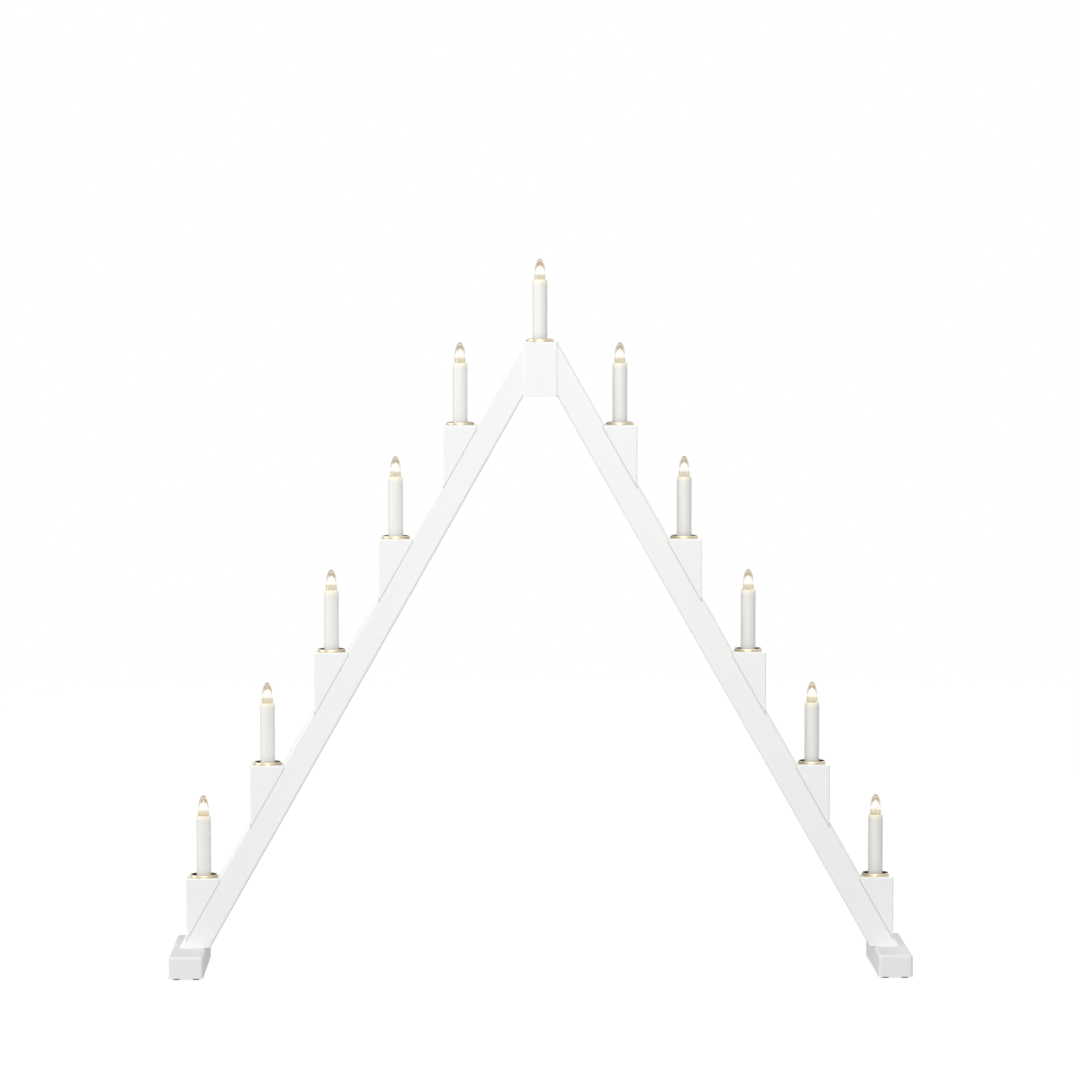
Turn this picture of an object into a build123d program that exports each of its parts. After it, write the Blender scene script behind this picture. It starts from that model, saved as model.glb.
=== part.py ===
from build123d import *
from math import cos, radians, sin, sqrt, tan
import os

os.makedirs("parts", exist_ok=True)

# All lengths are in millimetres. The origin is on the floor, midway between the feet.
# +X points to the viewer's right, +Y to the back and +Z up.

# Arch: two leaning beams with a row of stepped candles on each
SLOPE = 60.4
STEPS = 5
STEP_RISE = 113.4
FIRST_BLOCK_GAP = 6.549
APEX_RISE = 82.9

# Timber
TIMBER = 34.0
BEAM_HEIGHT = 27.0
BEAM_ROUNDING = 2.5
BLOCK_ROUNDING = 1.3
HOUSING_DEPTH = 3.0
BLOCK_INNER_LIP = 3.6
JOINT_EASING = 0.6
APEX_BLOCK_PROUD = 1.0

# Feet
FOOT_WIDTH = 34.0
FOOT_LENGTH = 140.0
FOOT_HEIGHT = 22.0
FOOT_ROUNDING = 3.0
FOOT_OUTER_LEDGE = 7.3
PAD_RADIUS = 3.8
PAD_THICKNESS = 2.0
PAD_EDGE_BEVEL = 0.5
PAD_SIDE_MARGIN = 7.3
PAD_END_MARGIN = 9.0

# Foot screws, two up through each foot into the beam's end
SCREW_RADIUS = 2.0
SCREW_HEAD_RADIUS = 4.0
SCREW_HEAD_RIM = 0.3
SCREW_HEAD_HEIGHT = 2.5
SCREW_LENGTH = 36.0
SCREW_POINT_LENGTH = 4.0
SCREW_RECESS = 1.0
SCREW_SPACING = 22.0
SCREW_SLOT_WIDTH = 0.8
SCREW_SLOT_DEPTH = 0.9
SCREW_CLEARANCE = 0.1
SCREW_PLACE_SHARE = 0.45

# Dowels between the apex block and the beams
DOWEL_RADIUS = 4.0
DOWEL_LENGTH = 24.0
DOWEL_SPACING = 20.0
DOWEL_BEVEL = 0.8
DOWEL_CLEARANCE = 0.05
DOWEL_END_GAP = 0.5
DOWEL_HEIGHT_SHARE = 0.36

# Brass collar: a flat flange, a raised bead and a shallow cup let into the block
COLLAR_RADIUS = 15.5
COLLAR_RIM_WIDTH = 2.8
COLLAR_BEAD_WIDTH = 1.4
COLLAR_BEAD_HEIGHT = 2.4
COLLAR_SHEET = 0.4
COLLAR_DEPTH = 8.0
COLLAR_CLEARANCE = 0.15

# Candle sleeve
SLEEVE_RADIUS = 7.4
SLEEVE_WALL = 1.3
SLEEVE_ROUNDING = 0.5

# Plug that stands the sleeve in the block
PLUG_HEIGHT = 14.0
PLUG_STEM_RADIUS = 4.6
PLUG_STEM_LENGTH = 17.0
PLUG_BORE_RADIUS = 3.6
PLUG_CLEARANCE = 0.1

# Socket in the sleeve's top
SOCKET_BASE = 30.0
SOCKET_FLOOR = 5.0
SOCKET_SEAT_DEPTH = 12.2
SOCKET_CLEARANCE = 0.1
SHELL_WALL = 0.3
SHELL_HEIGHT = 7.0
SHELL_CLEARANCE = 0.05
CONTACT_STRIP_WIDTH = 3.0
CONTACT_STRIP_THICKNESS = 0.4
CONTACT_STRIP_LENGTH = 4.8
CONTACT_HEIGHT = 2.6

# Bulb with a small screw cap
CAP_RADIUS = 4.75
CAP_HEIGHT = 10.8
CAP_SHOWS = 0.5
CAP_BEVEL = 1.6
CAP_BASE_RADIUS = 2.6
CAP_RUNNING_CLEARANCE = 0.05
CAP_WALL = 0.35
TIP_RADIUS = 1.9
TIP_HEIGHT = 1.4
TIP_BEVEL = 0.4
GLASS_RADIUS = 5.75
GLASS_WALL = 0.6
GLASS_NECK_LENGTH = 5.0
GLASS_SHOULDER = 4.6
GLASS_FLAME_HEIGHT = 15.0
GLASS_FLAME_TIP = 2.1
GLASS_HEIGHT = 32.2
STEM_RADIUS = 1.5
STEM_HEIGHT = 9.0
LEAD_RADIUS = 0.2
LEAD_HEIGHT = 15.0
LEAD_SPREAD = 2.4
FILAMENT_RADIUS = 0.3

# Wiring and its ways through the wood
WIRE_RADIUS = 0.9
WIRE_PITCH = 2.3
WIRE_BEND = 3.2
WIRE_LIFT = 0.3
WIRE_SIDE_STEP = 1.4
BORE_RADIUS = 4.7
BORE_DEPTH = 58.0
CROSS_HOLE_ABOVE_END = 4.0
GROOVE_WIDTH = 7.4
GROOVE_DEPTH = 7.0
COVER_WIDTH = 10.4
COVER_THICKNESS = 1.6
COVER_CLEARANCE = 0.1
CHANNEL_DEPTH = 6.0

# Grommet in the back of the right beam for the supply lead
GROMMET_RADIUS = 4.5
GROMMET_FLANGE_RADIUS = 5.8
GROMMET_FLANGE_THICKNESS = 1.2
GROMMET_BORE_RADIUS = 2.7
GROMMET_LENGTH = 10.0
GROMMET_DEPTH = 9.0
GROMMET_RISE = 56.0
GROMMET_CLEARANCE = 0.05

# One overrun for every cut that runs past a face
OVERRUN = 1.0

# Shapes that stand on the given point, and shapes that hang from it
SEAT_UP = (Align.CENTER, Align.CENTER, Align.MIN)
SEAT_DOWN = (Align.CENTER, Align.CENTER, Align.MAX)

# Places that follow from the sizes above
LEAN = radians(SLOPE)
LEFT, RIGHT = -1, 1
HALF_TIMBER = TIMBER / 2
FOOT_TOP = PAD_THICKNESS + FOOT_HEIGHT
FIRST_STEP_TOP = FOOT_TOP + FIRST_BLOCK_GAP + TIMBER * tan(LEAN) + BLOCK_INNER_LIP
APEX_TOP = FIRST_STEP_TOP + (STEPS - 1) * STEP_RISE + APEX_RISE
APEX_HEIGHT = BEAM_HEIGHT / cos(LEAN)
APEX_BOTTOM = APEX_TOP - APEX_HEIGHT
SLEEVE_BOTTOM = COLLAR_SHEET - COLLAR_DEPTH
SLEEVE_BORE_RADIUS = SLEEVE_RADIUS - SLEEVE_WALL
COLLAR_OPENING_RADIUS = COLLAR_RADIUS - COLLAR_RIM_WIDTH
RECESS_RADIUS = COLLAR_OPENING_RADIUS + COLLAR_SHEET + COLLAR_CLEARANCE
SHELL_RADIUS = CAP_RADIUS + CAP_RUNNING_CLEARANCE + SHELL_WALL
SOCKET_RADIUS = SLEEVE_BORE_RADIUS - SOCKET_CLEARANCE
CONTACT_BASE = SOCKET_BASE + SOCKET_FLOOR
TIP_BOTTOM = CONTACT_BASE + CONTACT_HEIGHT
CAP_BOTTOM = TIP_BOTTOM + TIP_HEIGHT
CAP_TOP = CAP_BOTTOM + CAP_HEIGHT
NECK_RADIUS = CAP_RADIUS - CAP_WALL
NECK_BOTTOM = CAP_TOP - GLASS_NECK_LENGTH
SOCKET_TOP = CAP_TOP - CAP_SHOWS
SLEEVE_TOP = SOCKET_TOP + SOCKET_SEAT_DEPTH
FLAME_BASE = CAP_TOP + GLASS_HEIGHT - GLASS_FLAME_HEIGHT


def outer_x(z):
    """How far from the middle the beam's upper face is at a height."""
    return HALF_TIMBER + (APEX_TOP - z) / tan(LEAN)


def foot_middle():
    """How far from the middle of the arch the middle of each foot is."""
    return outer_x(FOOT_TOP) + FOOT_OUTER_LEDGE - FOOT_WIDTH / 2


def beam_point(along, depth):
    """A point (x, z) down the right beam's lower face from its top, and so deep into the wood."""
    x = HALF_TIMBER + along * cos(LEAN) + depth * sin(LEAN)
    z = APEX_BOTTOM - along * sin(LEAN) + depth * cos(LEAN)
    return x, z


def along_beam(x, z):
    """The distance down the beam's lower face at which a point (x, z) lies abreast."""
    return (x - HALF_TIMBER) * cos(LEAN) + (APEX_BOTTOM - z) * sin(LEAN)


def housing_z(x):
    """The height of the housings' common floor under a step block."""
    return APEX_TOP - (x - HALF_TIMBER + HOUSING_DEPTH / sin(LEAN)) * tan(LEAN)


def step_top(step):
    """The height of a step block's top, counted from 1 at the bottom."""
    return FIRST_STEP_TOP + (step - 1) * STEP_RISE


def step_x(step):
    """How far from the middle a stepped candle stands."""
    tuck = HOUSING_DEPTH / sin(LEAN) - BLOCK_INNER_LIP / tan(LEAN)
    return outer_x(step_top(step)) - tuck + HALF_TIMBER


def candle_places():
    """The foot of every candle (x, z), from the left foot over the apex to the right foot."""
    steps = range(1, STEPS + 1)
    left = [(LEFT * step_x(step), step_top(step)) for step in steps]
    right = [(RIGHT * step_x(step), step_top(step)) for step in reversed(steps)]
    return left + [(0, APEX_TOP)] + right


def outline_face(points, y=0):
    """A flat face in the XZ plane through points (x, z)."""
    return make_face(Polyline([Vector(x, y, z) for x, z in points], close=True))


def prism(points, width):
    """A solid with an outline in the XZ plane, centred on it."""
    return extrude(outline_face(points), amount=width / 2, dir=(0, 1, 0), both=True)


def turned(points):
    """A solid turned about the Z axis from an outline of (radius, z)."""
    return revolve(outline_face(points), Axis.Z)


def rod(start, end, radius):
    """A round bar between two points."""
    start, end = Vector(*start), Vector(*end)
    plane = Plane(origin=start, z_dir=end - start)
    return extrude(plane * Circle(radius), amount=(end - start).length)


def ring(low, high, outer, inner):
    """A tube about the Z axis between two heights."""
    return turned([(inner, low), (outer, low), (outer, high), (inner, high)])


def on_side(side, shape):
    """The right-hand shape, or its mirror image for the left."""
    return shape if side == RIGHT else mirror(shape, Plane.YZ)


def at_candles(shape):
    """Copies of one shape, one at the foot of every candle."""
    return [Pos(x, 0, z) * shape for x, z in candle_places()]


def save(name, shapes):
    """Write one node, which may hold several separate solids."""
    solids = shapes if isinstance(shapes, list) else [shapes]
    whole = Compound(children=solids) if len(solids) > 1 else solids[0]
    export_step(whole, f"parts/{name}.step")


# Timber

def candle_drilling(depth):
    """The collar's recess and the wire bore below it, from a block's top down."""
    recess = Cylinder(RECESS_RADIUS, COLLAR_DEPTH + COLLAR_CLEARANCE + OVERRUN, align=SEAT_DOWN)
    bore = Cylinder(BORE_RADIUS, depth + OVERRUN, align=SEAT_DOWN)
    return Pos(0, 0, OVERRUN) * (recess + bore)


def block_outline(step):
    """A right-hand step block: square above, cut to the beam's slope below."""
    x, top = step_x(step), step_top(step)
    inner, outer = x - HALF_TIMBER, x + HALF_TIMBER
    return [(inner, top), (outer, top), (outer, housing_z(outer)), (inner, housing_z(inner))]


def joint_grooves(step):
    """Bars along a block's slanting joint, front and back, that ease both edges to a V."""
    inner, outer = step_x(step) - HALF_TIMBER, step_x(step) + HALF_TIMBER
    start, end = Vector(inner, 0, housing_z(inner)), Vector(outer, 0, housing_z(outer))
    side = JOINT_EASING * sqrt(2)
    section = Plane(origin=start, x_dir=(0, 1, 0), z_dir=end - start) * Rectangle(side, side, rotation=45)
    bar = extrude(section, amount=(end - start).length)
    return [Pos(0, y, 0) * bar for y in (-HALF_TIMBER, HALF_TIMBER)]


def upright_and_top_edges(block):
    """The edges of a block that are rounded: the four uprights and the four round its top."""
    top = block.faces().sort_by(Axis.Z)[-1].edges()
    uprights = block.edges().filter_by(Axis.Z)
    return top + uprights


def step_block(side, step):
    """A step block, let into the beam, with its candle's drilling."""
    block = prism(block_outline(step), TIMBER)
    block = fillet(upright_and_top_edges(block), BLOCK_ROUNDING)
    block -= Pos(step_x(step), 0, step_top(step)) * candle_drilling(BORE_DEPTH)
    for groove in joint_grooves(step):
        block -= groove
    return on_side(side, block)


def dowel_height():
    """The height of the dowels between the apex block and the beams."""
    return APEX_BOTTOM + APEX_HEIGHT * DOWEL_HEIGHT_SHARE


def dowel_bar(radius, length):
    """A bar as long as a dowel or its hole, centred on the joint at the right beam's top."""
    middle = dowel_height()
    half = length / 2
    return [
        rod((HALF_TIMBER - half, y, middle), (HALF_TIMBER + half, y, middle), radius)
        for y in (-DOWEL_SPACING / 2, DOWEL_SPACING / 2)
    ]


def dowel_holes():
    """The right beam's dowel holes, which run into the apex block as well."""
    return dowel_bar(DOWEL_RADIUS + DOWEL_CLEARANCE, DOWEL_LENGTH + 2 * DOWEL_END_GAP)


def apex_dowels():
    """Two bevelled dowels at each side of the apex block."""
    dowels = []
    for bar in dowel_bar(DOWEL_RADIUS, DOWEL_LENGTH):
        bar = chamfer(bar.edges().filter_by(GeomType.CIRCLE), DOWEL_BEVEL)
        dowels += [on_side(side, bar) for side in (LEFT, RIGHT)]
    return dowels


def apex_block():
    """The block that both beams meet, a little proud of them, with a channel for the wires under it."""
    depth = TIMBER + 2 * APEX_BLOCK_PROUD
    block = Pos(0, 0, APEX_BOTTOM) * Box(TIMBER, depth, APEX_HEIGHT, align=SEAT_UP)
    block = fillet(upright_and_top_edges(block), BLOCK_ROUNDING)
    block -= Pos(0, 0, APEX_TOP) * candle_drilling(APEX_HEIGHT + OVERRUN)
    channel = Box(TIMBER + 2 * OVERRUN, GROOVE_WIDTH, CHANNEL_DEPTH + OVERRUN, align=SEAT_UP)
    rebate = Box(TIMBER + 2 * OVERRUN, COVER_WIDTH, COVER_THICKNESS + OVERRUN, align=SEAT_UP)
    block -= Pos(0, 0, APEX_BOTTOM - OVERRUN) * channel
    block -= Pos(0, 0, APEX_BOTTOM - OVERRUN) * rebate
    for side in (LEFT, RIGHT):
        for hole in dowel_holes():
            block -= on_side(side, hole)
    return block


def cross_hole_place(step):
    """Where the hole from the groove meets a candle's bore (x, z)."""
    return step_x(step), step_top(step) - BORE_DEPTH + CROSS_HOLE_ABOVE_END


def groove_end():
    """How far down the beam the groove and its cover run."""
    return along_beam(*cross_hole_place(1)) + BORE_RADIUS


def beam_slot(width, depth, start, end):
    """A straight slot in the beam's lower face, from one place along it to another."""
    corners = [(start, -OVERRUN), (end, -OVERRUN), (end, depth), (start, depth)]
    return prism([beam_point(along, deep) for along, deep in corners], width)


def beam_drillings(beam):
    """The beam with its bores, its wire groove and the seat of the groove's cover."""
    for step in range(1, STEPS + 1):
        beam -= Pos(step_x(step), 0, step_top(step)) * candle_drilling(BORE_DEPTH)
        x, z = cross_hole_place(step)
        mouth_x, mouth_z = beam_point(along_beam(x, z), 0)
        beam -= rod((mouth_x, 0, mouth_z), (x, 0, z), BORE_RADIUS - WIRE_RADIUS)
    beam -= beam_slot(GROOVE_WIDTH, GROOVE_DEPTH, -BEAM_HEIGHT, groove_end())
    beam -= beam_slot(COVER_WIDTH, COVER_THICKNESS, -BEAM_HEIGHT, groove_end())
    for hole in dowel_holes():
        beam -= hole
    return beam


def screw_places():
    """The right foot's screws (x, y), under the thick of the beam's end."""
    width = BEAM_HEIGHT / sin(LEAN)
    x = outer_x(FOOT_TOP) - width * (1 - SCREW_PLACE_SHARE)
    return [(x, -SCREW_SPACING / 2), (x, SCREW_SPACING / 2)]


def screw_shape(clearance, below):
    """A countersunk wood screw, head down, or with a clearance the hole that it fills."""
    head = SCREW_HEAD_RADIUS + clearance
    shank = SCREW_RADIUS + clearance
    end = SCREW_LENGTH + clearance
    outline = [(0, -below), (head, -below), (head, SCREW_HEAD_RIM), (shank, SCREW_HEAD_HEIGHT)]
    return turned(outline + [(shank, end - SCREW_POINT_LENGTH), (0, end)])


def screw_hole():
    """The countersunk hole, open at the foot's underside."""
    return screw_shape(SCREW_CLEARANCE, SCREW_RECESS + OVERRUN)


def screw_base():
    """The height of the screw heads' flat faces."""
    return PAD_THICKNESS + SCREW_RECESS


def beam(side):
    """A leaning beam, upright at the apex block and level on its foot."""
    width = BEAM_HEIGHT / sin(LEAN)
    foot_x = outer_x(FOOT_TOP)
    corners = [(HALF_TIMBER, APEX_TOP), (foot_x, FOOT_TOP), (foot_x - width, FOOT_TOP)]
    beam = prism(corners + [(HALF_TIMBER, APEX_BOTTOM)], TIMBER)
    leaning = [edge for edge in beam.edges() if is_leaning(edge)]
    beam = fillet(leaning, BEAM_ROUNDING)
    for step in range(1, STEPS + 1):
        beam -= prism(block_outline(step), TIMBER + 2 * OVERRUN)
        for groove in joint_grooves(step):
            beam -= groove
    beam = beam_drillings(beam)
    for x, y in screw_places():
        beam -= Pos(x, y, screw_base()) * screw_hole()
    if side == RIGHT:
        beam -= grommet_seat()
    return on_side(side, beam)


def is_leaning(edge):
    """Whether an edge runs along the beam."""
    direction = edge % 0.5
    return abs(direction.X) > abs(direction.Y) and abs(direction.Z) > abs(direction.Y)


def foot(side):
    """A foot block from front to back, rounded on top and at its corners."""
    block = Box(FOOT_WIDTH, FOOT_LENGTH, FOOT_HEIGHT, align=SEAT_UP)
    block = Pos(foot_middle(), 0, PAD_THICKNESS) * block
    block = fillet(upright_and_top_edges(block), FOOT_ROUNDING)
    for x, y in screw_places():
        block -= Pos(x, y, screw_base()) * screw_hole()
    return on_side(side, block)


def foot_pads():
    """Four round rubber pads under each foot, near its corners."""
    pad = Cylinder(PAD_RADIUS, PAD_THICKNESS, align=SEAT_UP)
    pad = chamfer(pad.faces().sort_by(Axis.Z)[0].edges(), PAD_EDGE_BEVEL)
    spread = FOOT_WIDTH / 2 - PAD_SIDE_MARGIN
    reach = FOOT_LENGTH / 2 - PAD_END_MARGIN
    pads = []
    for side in (LEFT, RIGHT):
        for x in (foot_middle() - spread, foot_middle() + spread):
            pads += [Pos(side * x, y, 0) * pad for y in (-reach, reach)]
    return pads


def foot_screws():
    """Two slotted countersunk screws up through each foot."""
    screw = screw_shape(0, 0)
    slot = Box(2 * SCREW_HEAD_RADIUS + OVERRUN, SCREW_SLOT_WIDTH, SCREW_SLOT_DEPTH, align=SEAT_UP)
    screw -= slot
    places = [(side * x, y) for side in (LEFT, RIGHT) for x, y in screw_places()]
    return [Pos(x, y, screw_base()) * screw for x, y in places]


# Wire groove covers and grommet

def beam_cover():
    """The right beam's cover strip, flush in the groove's rebate."""
    edges = [
        (COVER_CLEARANCE, 0),
        (groove_end() - COVER_CLEARANCE, 0),
        (groove_end() - COVER_CLEARANCE, COVER_THICKNESS),
        (COVER_CLEARANCE, COVER_THICKNESS),
    ]
    width = COVER_WIDTH - 2 * COVER_CLEARANCE
    return prism([beam_point(along, deep) for along, deep in edges], width)


def groove_covers():
    """The cover strips in both beams and the one under the apex block."""
    strip = beam_cover()
    size = (TIMBER - 2 * COVER_CLEARANCE, COVER_WIDTH - 2 * COVER_CLEARANCE, COVER_THICKNESS)
    apex_strip = Pos(0, 0, APEX_BOTTOM) * Box(*size, align=SEAT_UP)
    return [on_side(LEFT, strip), apex_strip, strip]


def grommet_place():
    """The supply lead's way out through the back of the right beam (x, z)."""
    return beam_point(along_beam(*cross_hole_place(1)) - GROMMET_RISE, GROMMET_DEPTH)


def grommet_seat():
    """The hole for the grommet, from the groove to the beam's back."""
    x, z = grommet_place()
    return rod((x, 0, z), (x, HALF_TIMBER + OVERRUN, z), GROMMET_RADIUS + GROMMET_CLEARANCE)


def cord_grommet():
    """A flanged rubber grommet, flush against the beam's back."""
    outer, bore = GROMMET_RADIUS, GROMMET_BORE_RADIUS
    lip = GROMMET_FLANGE_THICKNESS
    outline = [(bore, lip), (GROMMET_FLANGE_RADIUS, lip), (GROMMET_FLANGE_RADIUS, 0), (outer, 0)]
    outline += [(outer, -GROMMET_LENGTH), (bore, -GROMMET_LENGTH)]
    x, z = grommet_place()
    back = Plane(origin=(x, HALF_TIMBER, z), z_dir=(0, 1, 0))
    return back * turned(outline)


# Candle holders

def collar():
    """A pressed brass collar: a flange on the block, a raised bead and a cup with a holed floor."""
    wide, mouth, sheet = COLLAR_RADIUS, COLLAR_OPENING_RADIUS, COLLAR_SHEET
    half = COLLAR_BEAD_WIDTH / 2
    middle, spring = mouth + half, COLLAR_BEAD_HEIGHT - half
    outer = middle + half
    hole = PLUG_STEM_RADIUS + PLUG_CLEARANCE
    flange = Polyline((outer - sheet, 0, 0), (wide, 0, 0), (wide, 0, sheet), (outer, 0, sheet), (outer, 0, spring))
    crown = ThreePointArc((outer, 0, spring), (middle, 0, COLLAR_BEAD_HEIGHT), (mouth, 0, spring))
    cup = Polyline(
        (mouth, 0, spring),
        (mouth, 0, sheet - COLLAR_DEPTH),
        (hole, 0, sheet - COLLAR_DEPTH),
        (hole, 0, -COLLAR_DEPTH),
        (mouth + sheet, 0, -COLLAR_DEPTH),
        (mouth + sheet, 0, spring),
    )
    hollow = ThreePointArc(
        (mouth + sheet, 0, spring), (middle, 0, COLLAR_BEAD_HEIGHT - sheet), (outer - sheet, 0, spring)
    )
    inner_side = Line((outer - sheet, 0, spring), (outer - sheet, 0, 0))
    return revolve(make_face(flange + crown + cup + hollow + inner_side), Axis.Z)


def sleeve():
    """A plain tube shaped as a candle, with a softened top."""
    tube = ring(SLEEVE_BOTTOM, SLEEVE_TOP, SLEEVE_RADIUS, SLEEVE_BORE_RADIUS)
    top_edges = tube.faces().sort_by(Axis.Z)[-1].edges()
    return fillet(top_edges, SLEEVE_ROUNDING)


def sleeve_plug():
    """The plug in the sleeve's foot, with a hollow stem down the block's bore."""
    wide = SLEEVE_BORE_RADIUS - PLUG_CLEARANCE
    top = SLEEVE_BOTTOM + PLUG_HEIGHT
    bottom = SLEEVE_BOTTOM - PLUG_STEM_LENGTH
    outline = [(PLUG_BORE_RADIUS, bottom), (PLUG_STEM_RADIUS, bottom)]
    outline += [(PLUG_STEM_RADIUS, SLEEVE_BOTTOM), (wide, SLEEVE_BOTTOM)]
    outline += [(wide, top), (PLUG_BORE_RADIUS, top)]
    return turned(outline)


def socket_body():
    """The insulating cup in the sleeve's top that holds the shell and the contact."""
    seat = SHELL_RADIUS + SHELL_CLEARANCE
    outline = [(0, SOCKET_BASE), (SOCKET_RADIUS, SOCKET_BASE), (SOCKET_RADIUS, SOCKET_TOP)]
    outline += [(seat, SOCKET_TOP), (seat, CONTACT_BASE), (0, CONTACT_BASE)]
    return turned(outline)


def socket_shell():
    """The thin metal shell that the bulb's cap screws into."""
    return ring(SOCKET_TOP - SHELL_HEIGHT, SOCKET_TOP, SHELL_RADIUS, SHELL_RADIUS - SHELL_WALL)


def spring_contact():
    """A folded brass tongue between the socket's floor and the bulb's tip."""
    half, sheet = CONTACT_STRIP_LENGTH / 2, CONTACT_STRIP_THICKNESS
    low, high = CONTACT_BASE, TIP_BOTTOM
    outline = [(-half, low), (half, low), (half, high), (sheet - half, high)]
    outline += [(sheet - half, high - sheet), (half - sheet, high - sheet)]
    outline += [(half - sheet, low + sheet), (-half, low + sheet)]
    return prism(outline, CONTACT_STRIP_WIDTH)


# Bulb

def bulb_tip():
    """The solder button under the cap."""
    outline = [(0, TIP_BOTTOM), (TIP_RADIUS - TIP_BEVEL, TIP_BOTTOM)]
    outline += [(TIP_RADIUS, TIP_BOTTOM + TIP_BEVEL), (TIP_RADIUS, CAP_BOTTOM), (0, CAP_BOTTOM)]
    return turned(outline)


def filament():
    """The glass stem, two lead wires and the filament between them."""
    stem_top = NECK_BOTTOM + STEM_HEIGHT
    lead_top = stem_top + LEAD_HEIGHT
    half = LEAD_SPREAD / 2
    low = NECK_BOTTOM
    mount = turned([(0, low), (STEM_RADIUS, low), (STEM_RADIUS, stem_top), (0, stem_top)])
    for side in (LEFT, RIGHT):
        foot_point = (side * STEM_RADIUS / 2, 0, stem_top - LEAD_RADIUS)
        mount += rod(foot_point, (side * half, 0, lead_top), LEAD_RADIUS)
    reach = half + LEAD_RADIUS
    mount += rod((-reach, 0, lead_top), (reach, 0, lead_top), FILAMENT_RADIUS)
    return mount


def bulb_cap():
    """The screw cap with its insulating base, and the filament's mount that stands in it."""
    low, high = CAP_BOTTOM, CAP_TOP
    outline = [(0, low), (CAP_BASE_RADIUS, low), (CAP_RADIUS, low + CAP_BEVEL), (CAP_RADIUS, high)]
    outline += [(NECK_RADIUS, high), (NECK_RADIUS, NECK_BOTTOM), (0, NECK_BOTTOM)]
    return turned(outline) + filament()


def flame(radius, tip, base, neck):
    """A closed flame shape: a neck, a shoulder, a straight belly and a pointed arch on top."""
    height = GLASS_FLAME_HEIGHT - (GLASS_FLAME_TIP - tip)
    rise = height - tip
    arch = (radius ** 2 + rise ** 2 - tip ** 2) / (2 * (radius - tip))
    centre = radius - arch
    crown = FLAME_BASE + rise
    reach = arch / (arch - tip)
    touch = (centre - centre * reach, FLAME_BASE + rise * reach)
    middle_x = (touch[0] + radius) / 2 - centre
    middle_z = (touch[1] - FLAME_BASE) / 2
    stretch = arch / sqrt(middle_x ** 2 + middle_z ** 2)
    crest = sqrt(tip ** 2 / 2)
    side = Polyline(
        (0, 0, base),
        (neck, 0, base),
        (neck, 0, CAP_TOP),
        (radius, 0, CAP_TOP + GLASS_SHOULDER),
        (radius, 0, FLAME_BASE),
    )
    belly = ThreePointArc(
        (radius, 0, FLAME_BASE),
        (centre + middle_x * stretch, 0, FLAME_BASE + middle_z * stretch),
        (touch[0], 0, touch[1]),
    )
    point = ThreePointArc((touch[0], 0, touch[1]), (crest, 0, crown + crest), (0, 0, crown + tip))
    axis_line = Line((0, 0, crown + tip), (0, 0, base))
    return revolve(make_face(side + belly + point + axis_line), Axis.Z)


def bulb_glass():
    """The clear envelope, blown to an even wall and open at its neck."""
    outside = flame(GLASS_RADIUS, GLASS_FLAME_TIP, NECK_BOTTOM, NECK_RADIUS - SHELL_CLEARANCE)
    inner_neck = NECK_RADIUS - SHELL_CLEARANCE - GLASS_WALL
    inside = flame(GLASS_RADIUS - GLASS_WALL, GLASS_FLAME_TIP - GLASS_WALL, NECK_BOTTOM, inner_neck)
    return outside - inside


# Wiring: a series string from candle to candle, and one wire back to the grommet

def wire(points, y):
    """One insulated wire through points (x, z), bent at each corner."""
    path = FilletPolyline([Vector(x, y, z) for x, z in points], radius=WIRE_BEND)
    section = Plane(origin=path @ 0, z_dir=path % 0) * Circle(WIRE_RADIUS)
    return sweep(section, path=path)


def wire_depth():
    """How deep in the groove the wires lie, just above the cover."""
    return COVER_THICKNESS + WIRE_LIFT + WIRE_RADIUS


def riser(x, top):
    """A wire's upper end under a socket, and its bend into the cross hole (x, z)."""
    return [(x, top + SOCKET_BASE), (x, top - BORE_DEPTH + CROSS_HOLE_ABOVE_END)]


def groove_point(x, z):
    """The point in the groove abreast of a cross hole."""
    return beam_point(along_beam(x, z), wire_depth())


def step_end(step):
    """A wire's three points from a stepped socket to the groove."""
    socket_end, bend = riser(step_x(step), step_top(step))
    return [socket_end, bend, groove_point(*bend)]


def apex_corner():
    """Where a wire turns from the beam's groove into the channel under the apex block."""
    level = APEX_BOTTOM + wire_depth()
    along = wire_depth() * (cos(LEAN) - 1) / sin(LEAN)
    return beam_point(along, wire_depth())[0], level


def mirrored(points):
    """The same points on the left side."""
    return [(LEFT * x, z) for x, z in points]


def wiring():
    """Ten links between neighbouring sockets, the way back and the lead to the grommet."""
    rows = (-WIRE_PITCH, 0)
    wires = []
    for step in range(1, STEPS):
        upper_end = list(reversed(step_end(step + 1)))
        link = wire(step_end(step) + upper_end, rows[step % 2])
        wires += [link, mirror(link, Plane.YZ)]
    channel = APEX_BOTTOM + wire_depth()
    top_end = [(WIRE_SIDE_STEP, channel), (WIRE_SIDE_STEP, APEX_TOP + SOCKET_BASE)]
    last = wire(step_end(STEPS) + [apex_corner()] + top_end, rows[STEPS % 2])
    return wires + [last, mirror(last, Plane.YZ), way_back(), supply_lead(rows[0])]


def supply_lead(y):
    """The wire from the lowest right socket to the grommet's inner end."""
    x, z = grommet_place()
    return wire(step_end(1) + [groove_point(x, z)], y)


def way_back():
    """The wire from the lowest left socket, over the apex and down to the grommet."""
    x, z = grommet_place()
    left = mirrored(step_end(1) + [apex_corner()])
    return wire(left + [apex_corner(), groove_point(x, z)], WIRE_PITCH)


def single_pieces():
    """The nodes that hold one solid each."""
    pieces = {"apex_block": apex_block(), "cord_grommet": cord_grommet()}
    for side, name in ((LEFT, "left"), (RIGHT, "right")):
        pieces[f"{name}_beam"] = beam(side)
        pieces[f"{name}_foot"] = foot(side)
        for step in range(1, STEPS + 1):
            pieces[f"{name}_step_block_{step}"] = step_block(side, step)
    return pieces


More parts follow.
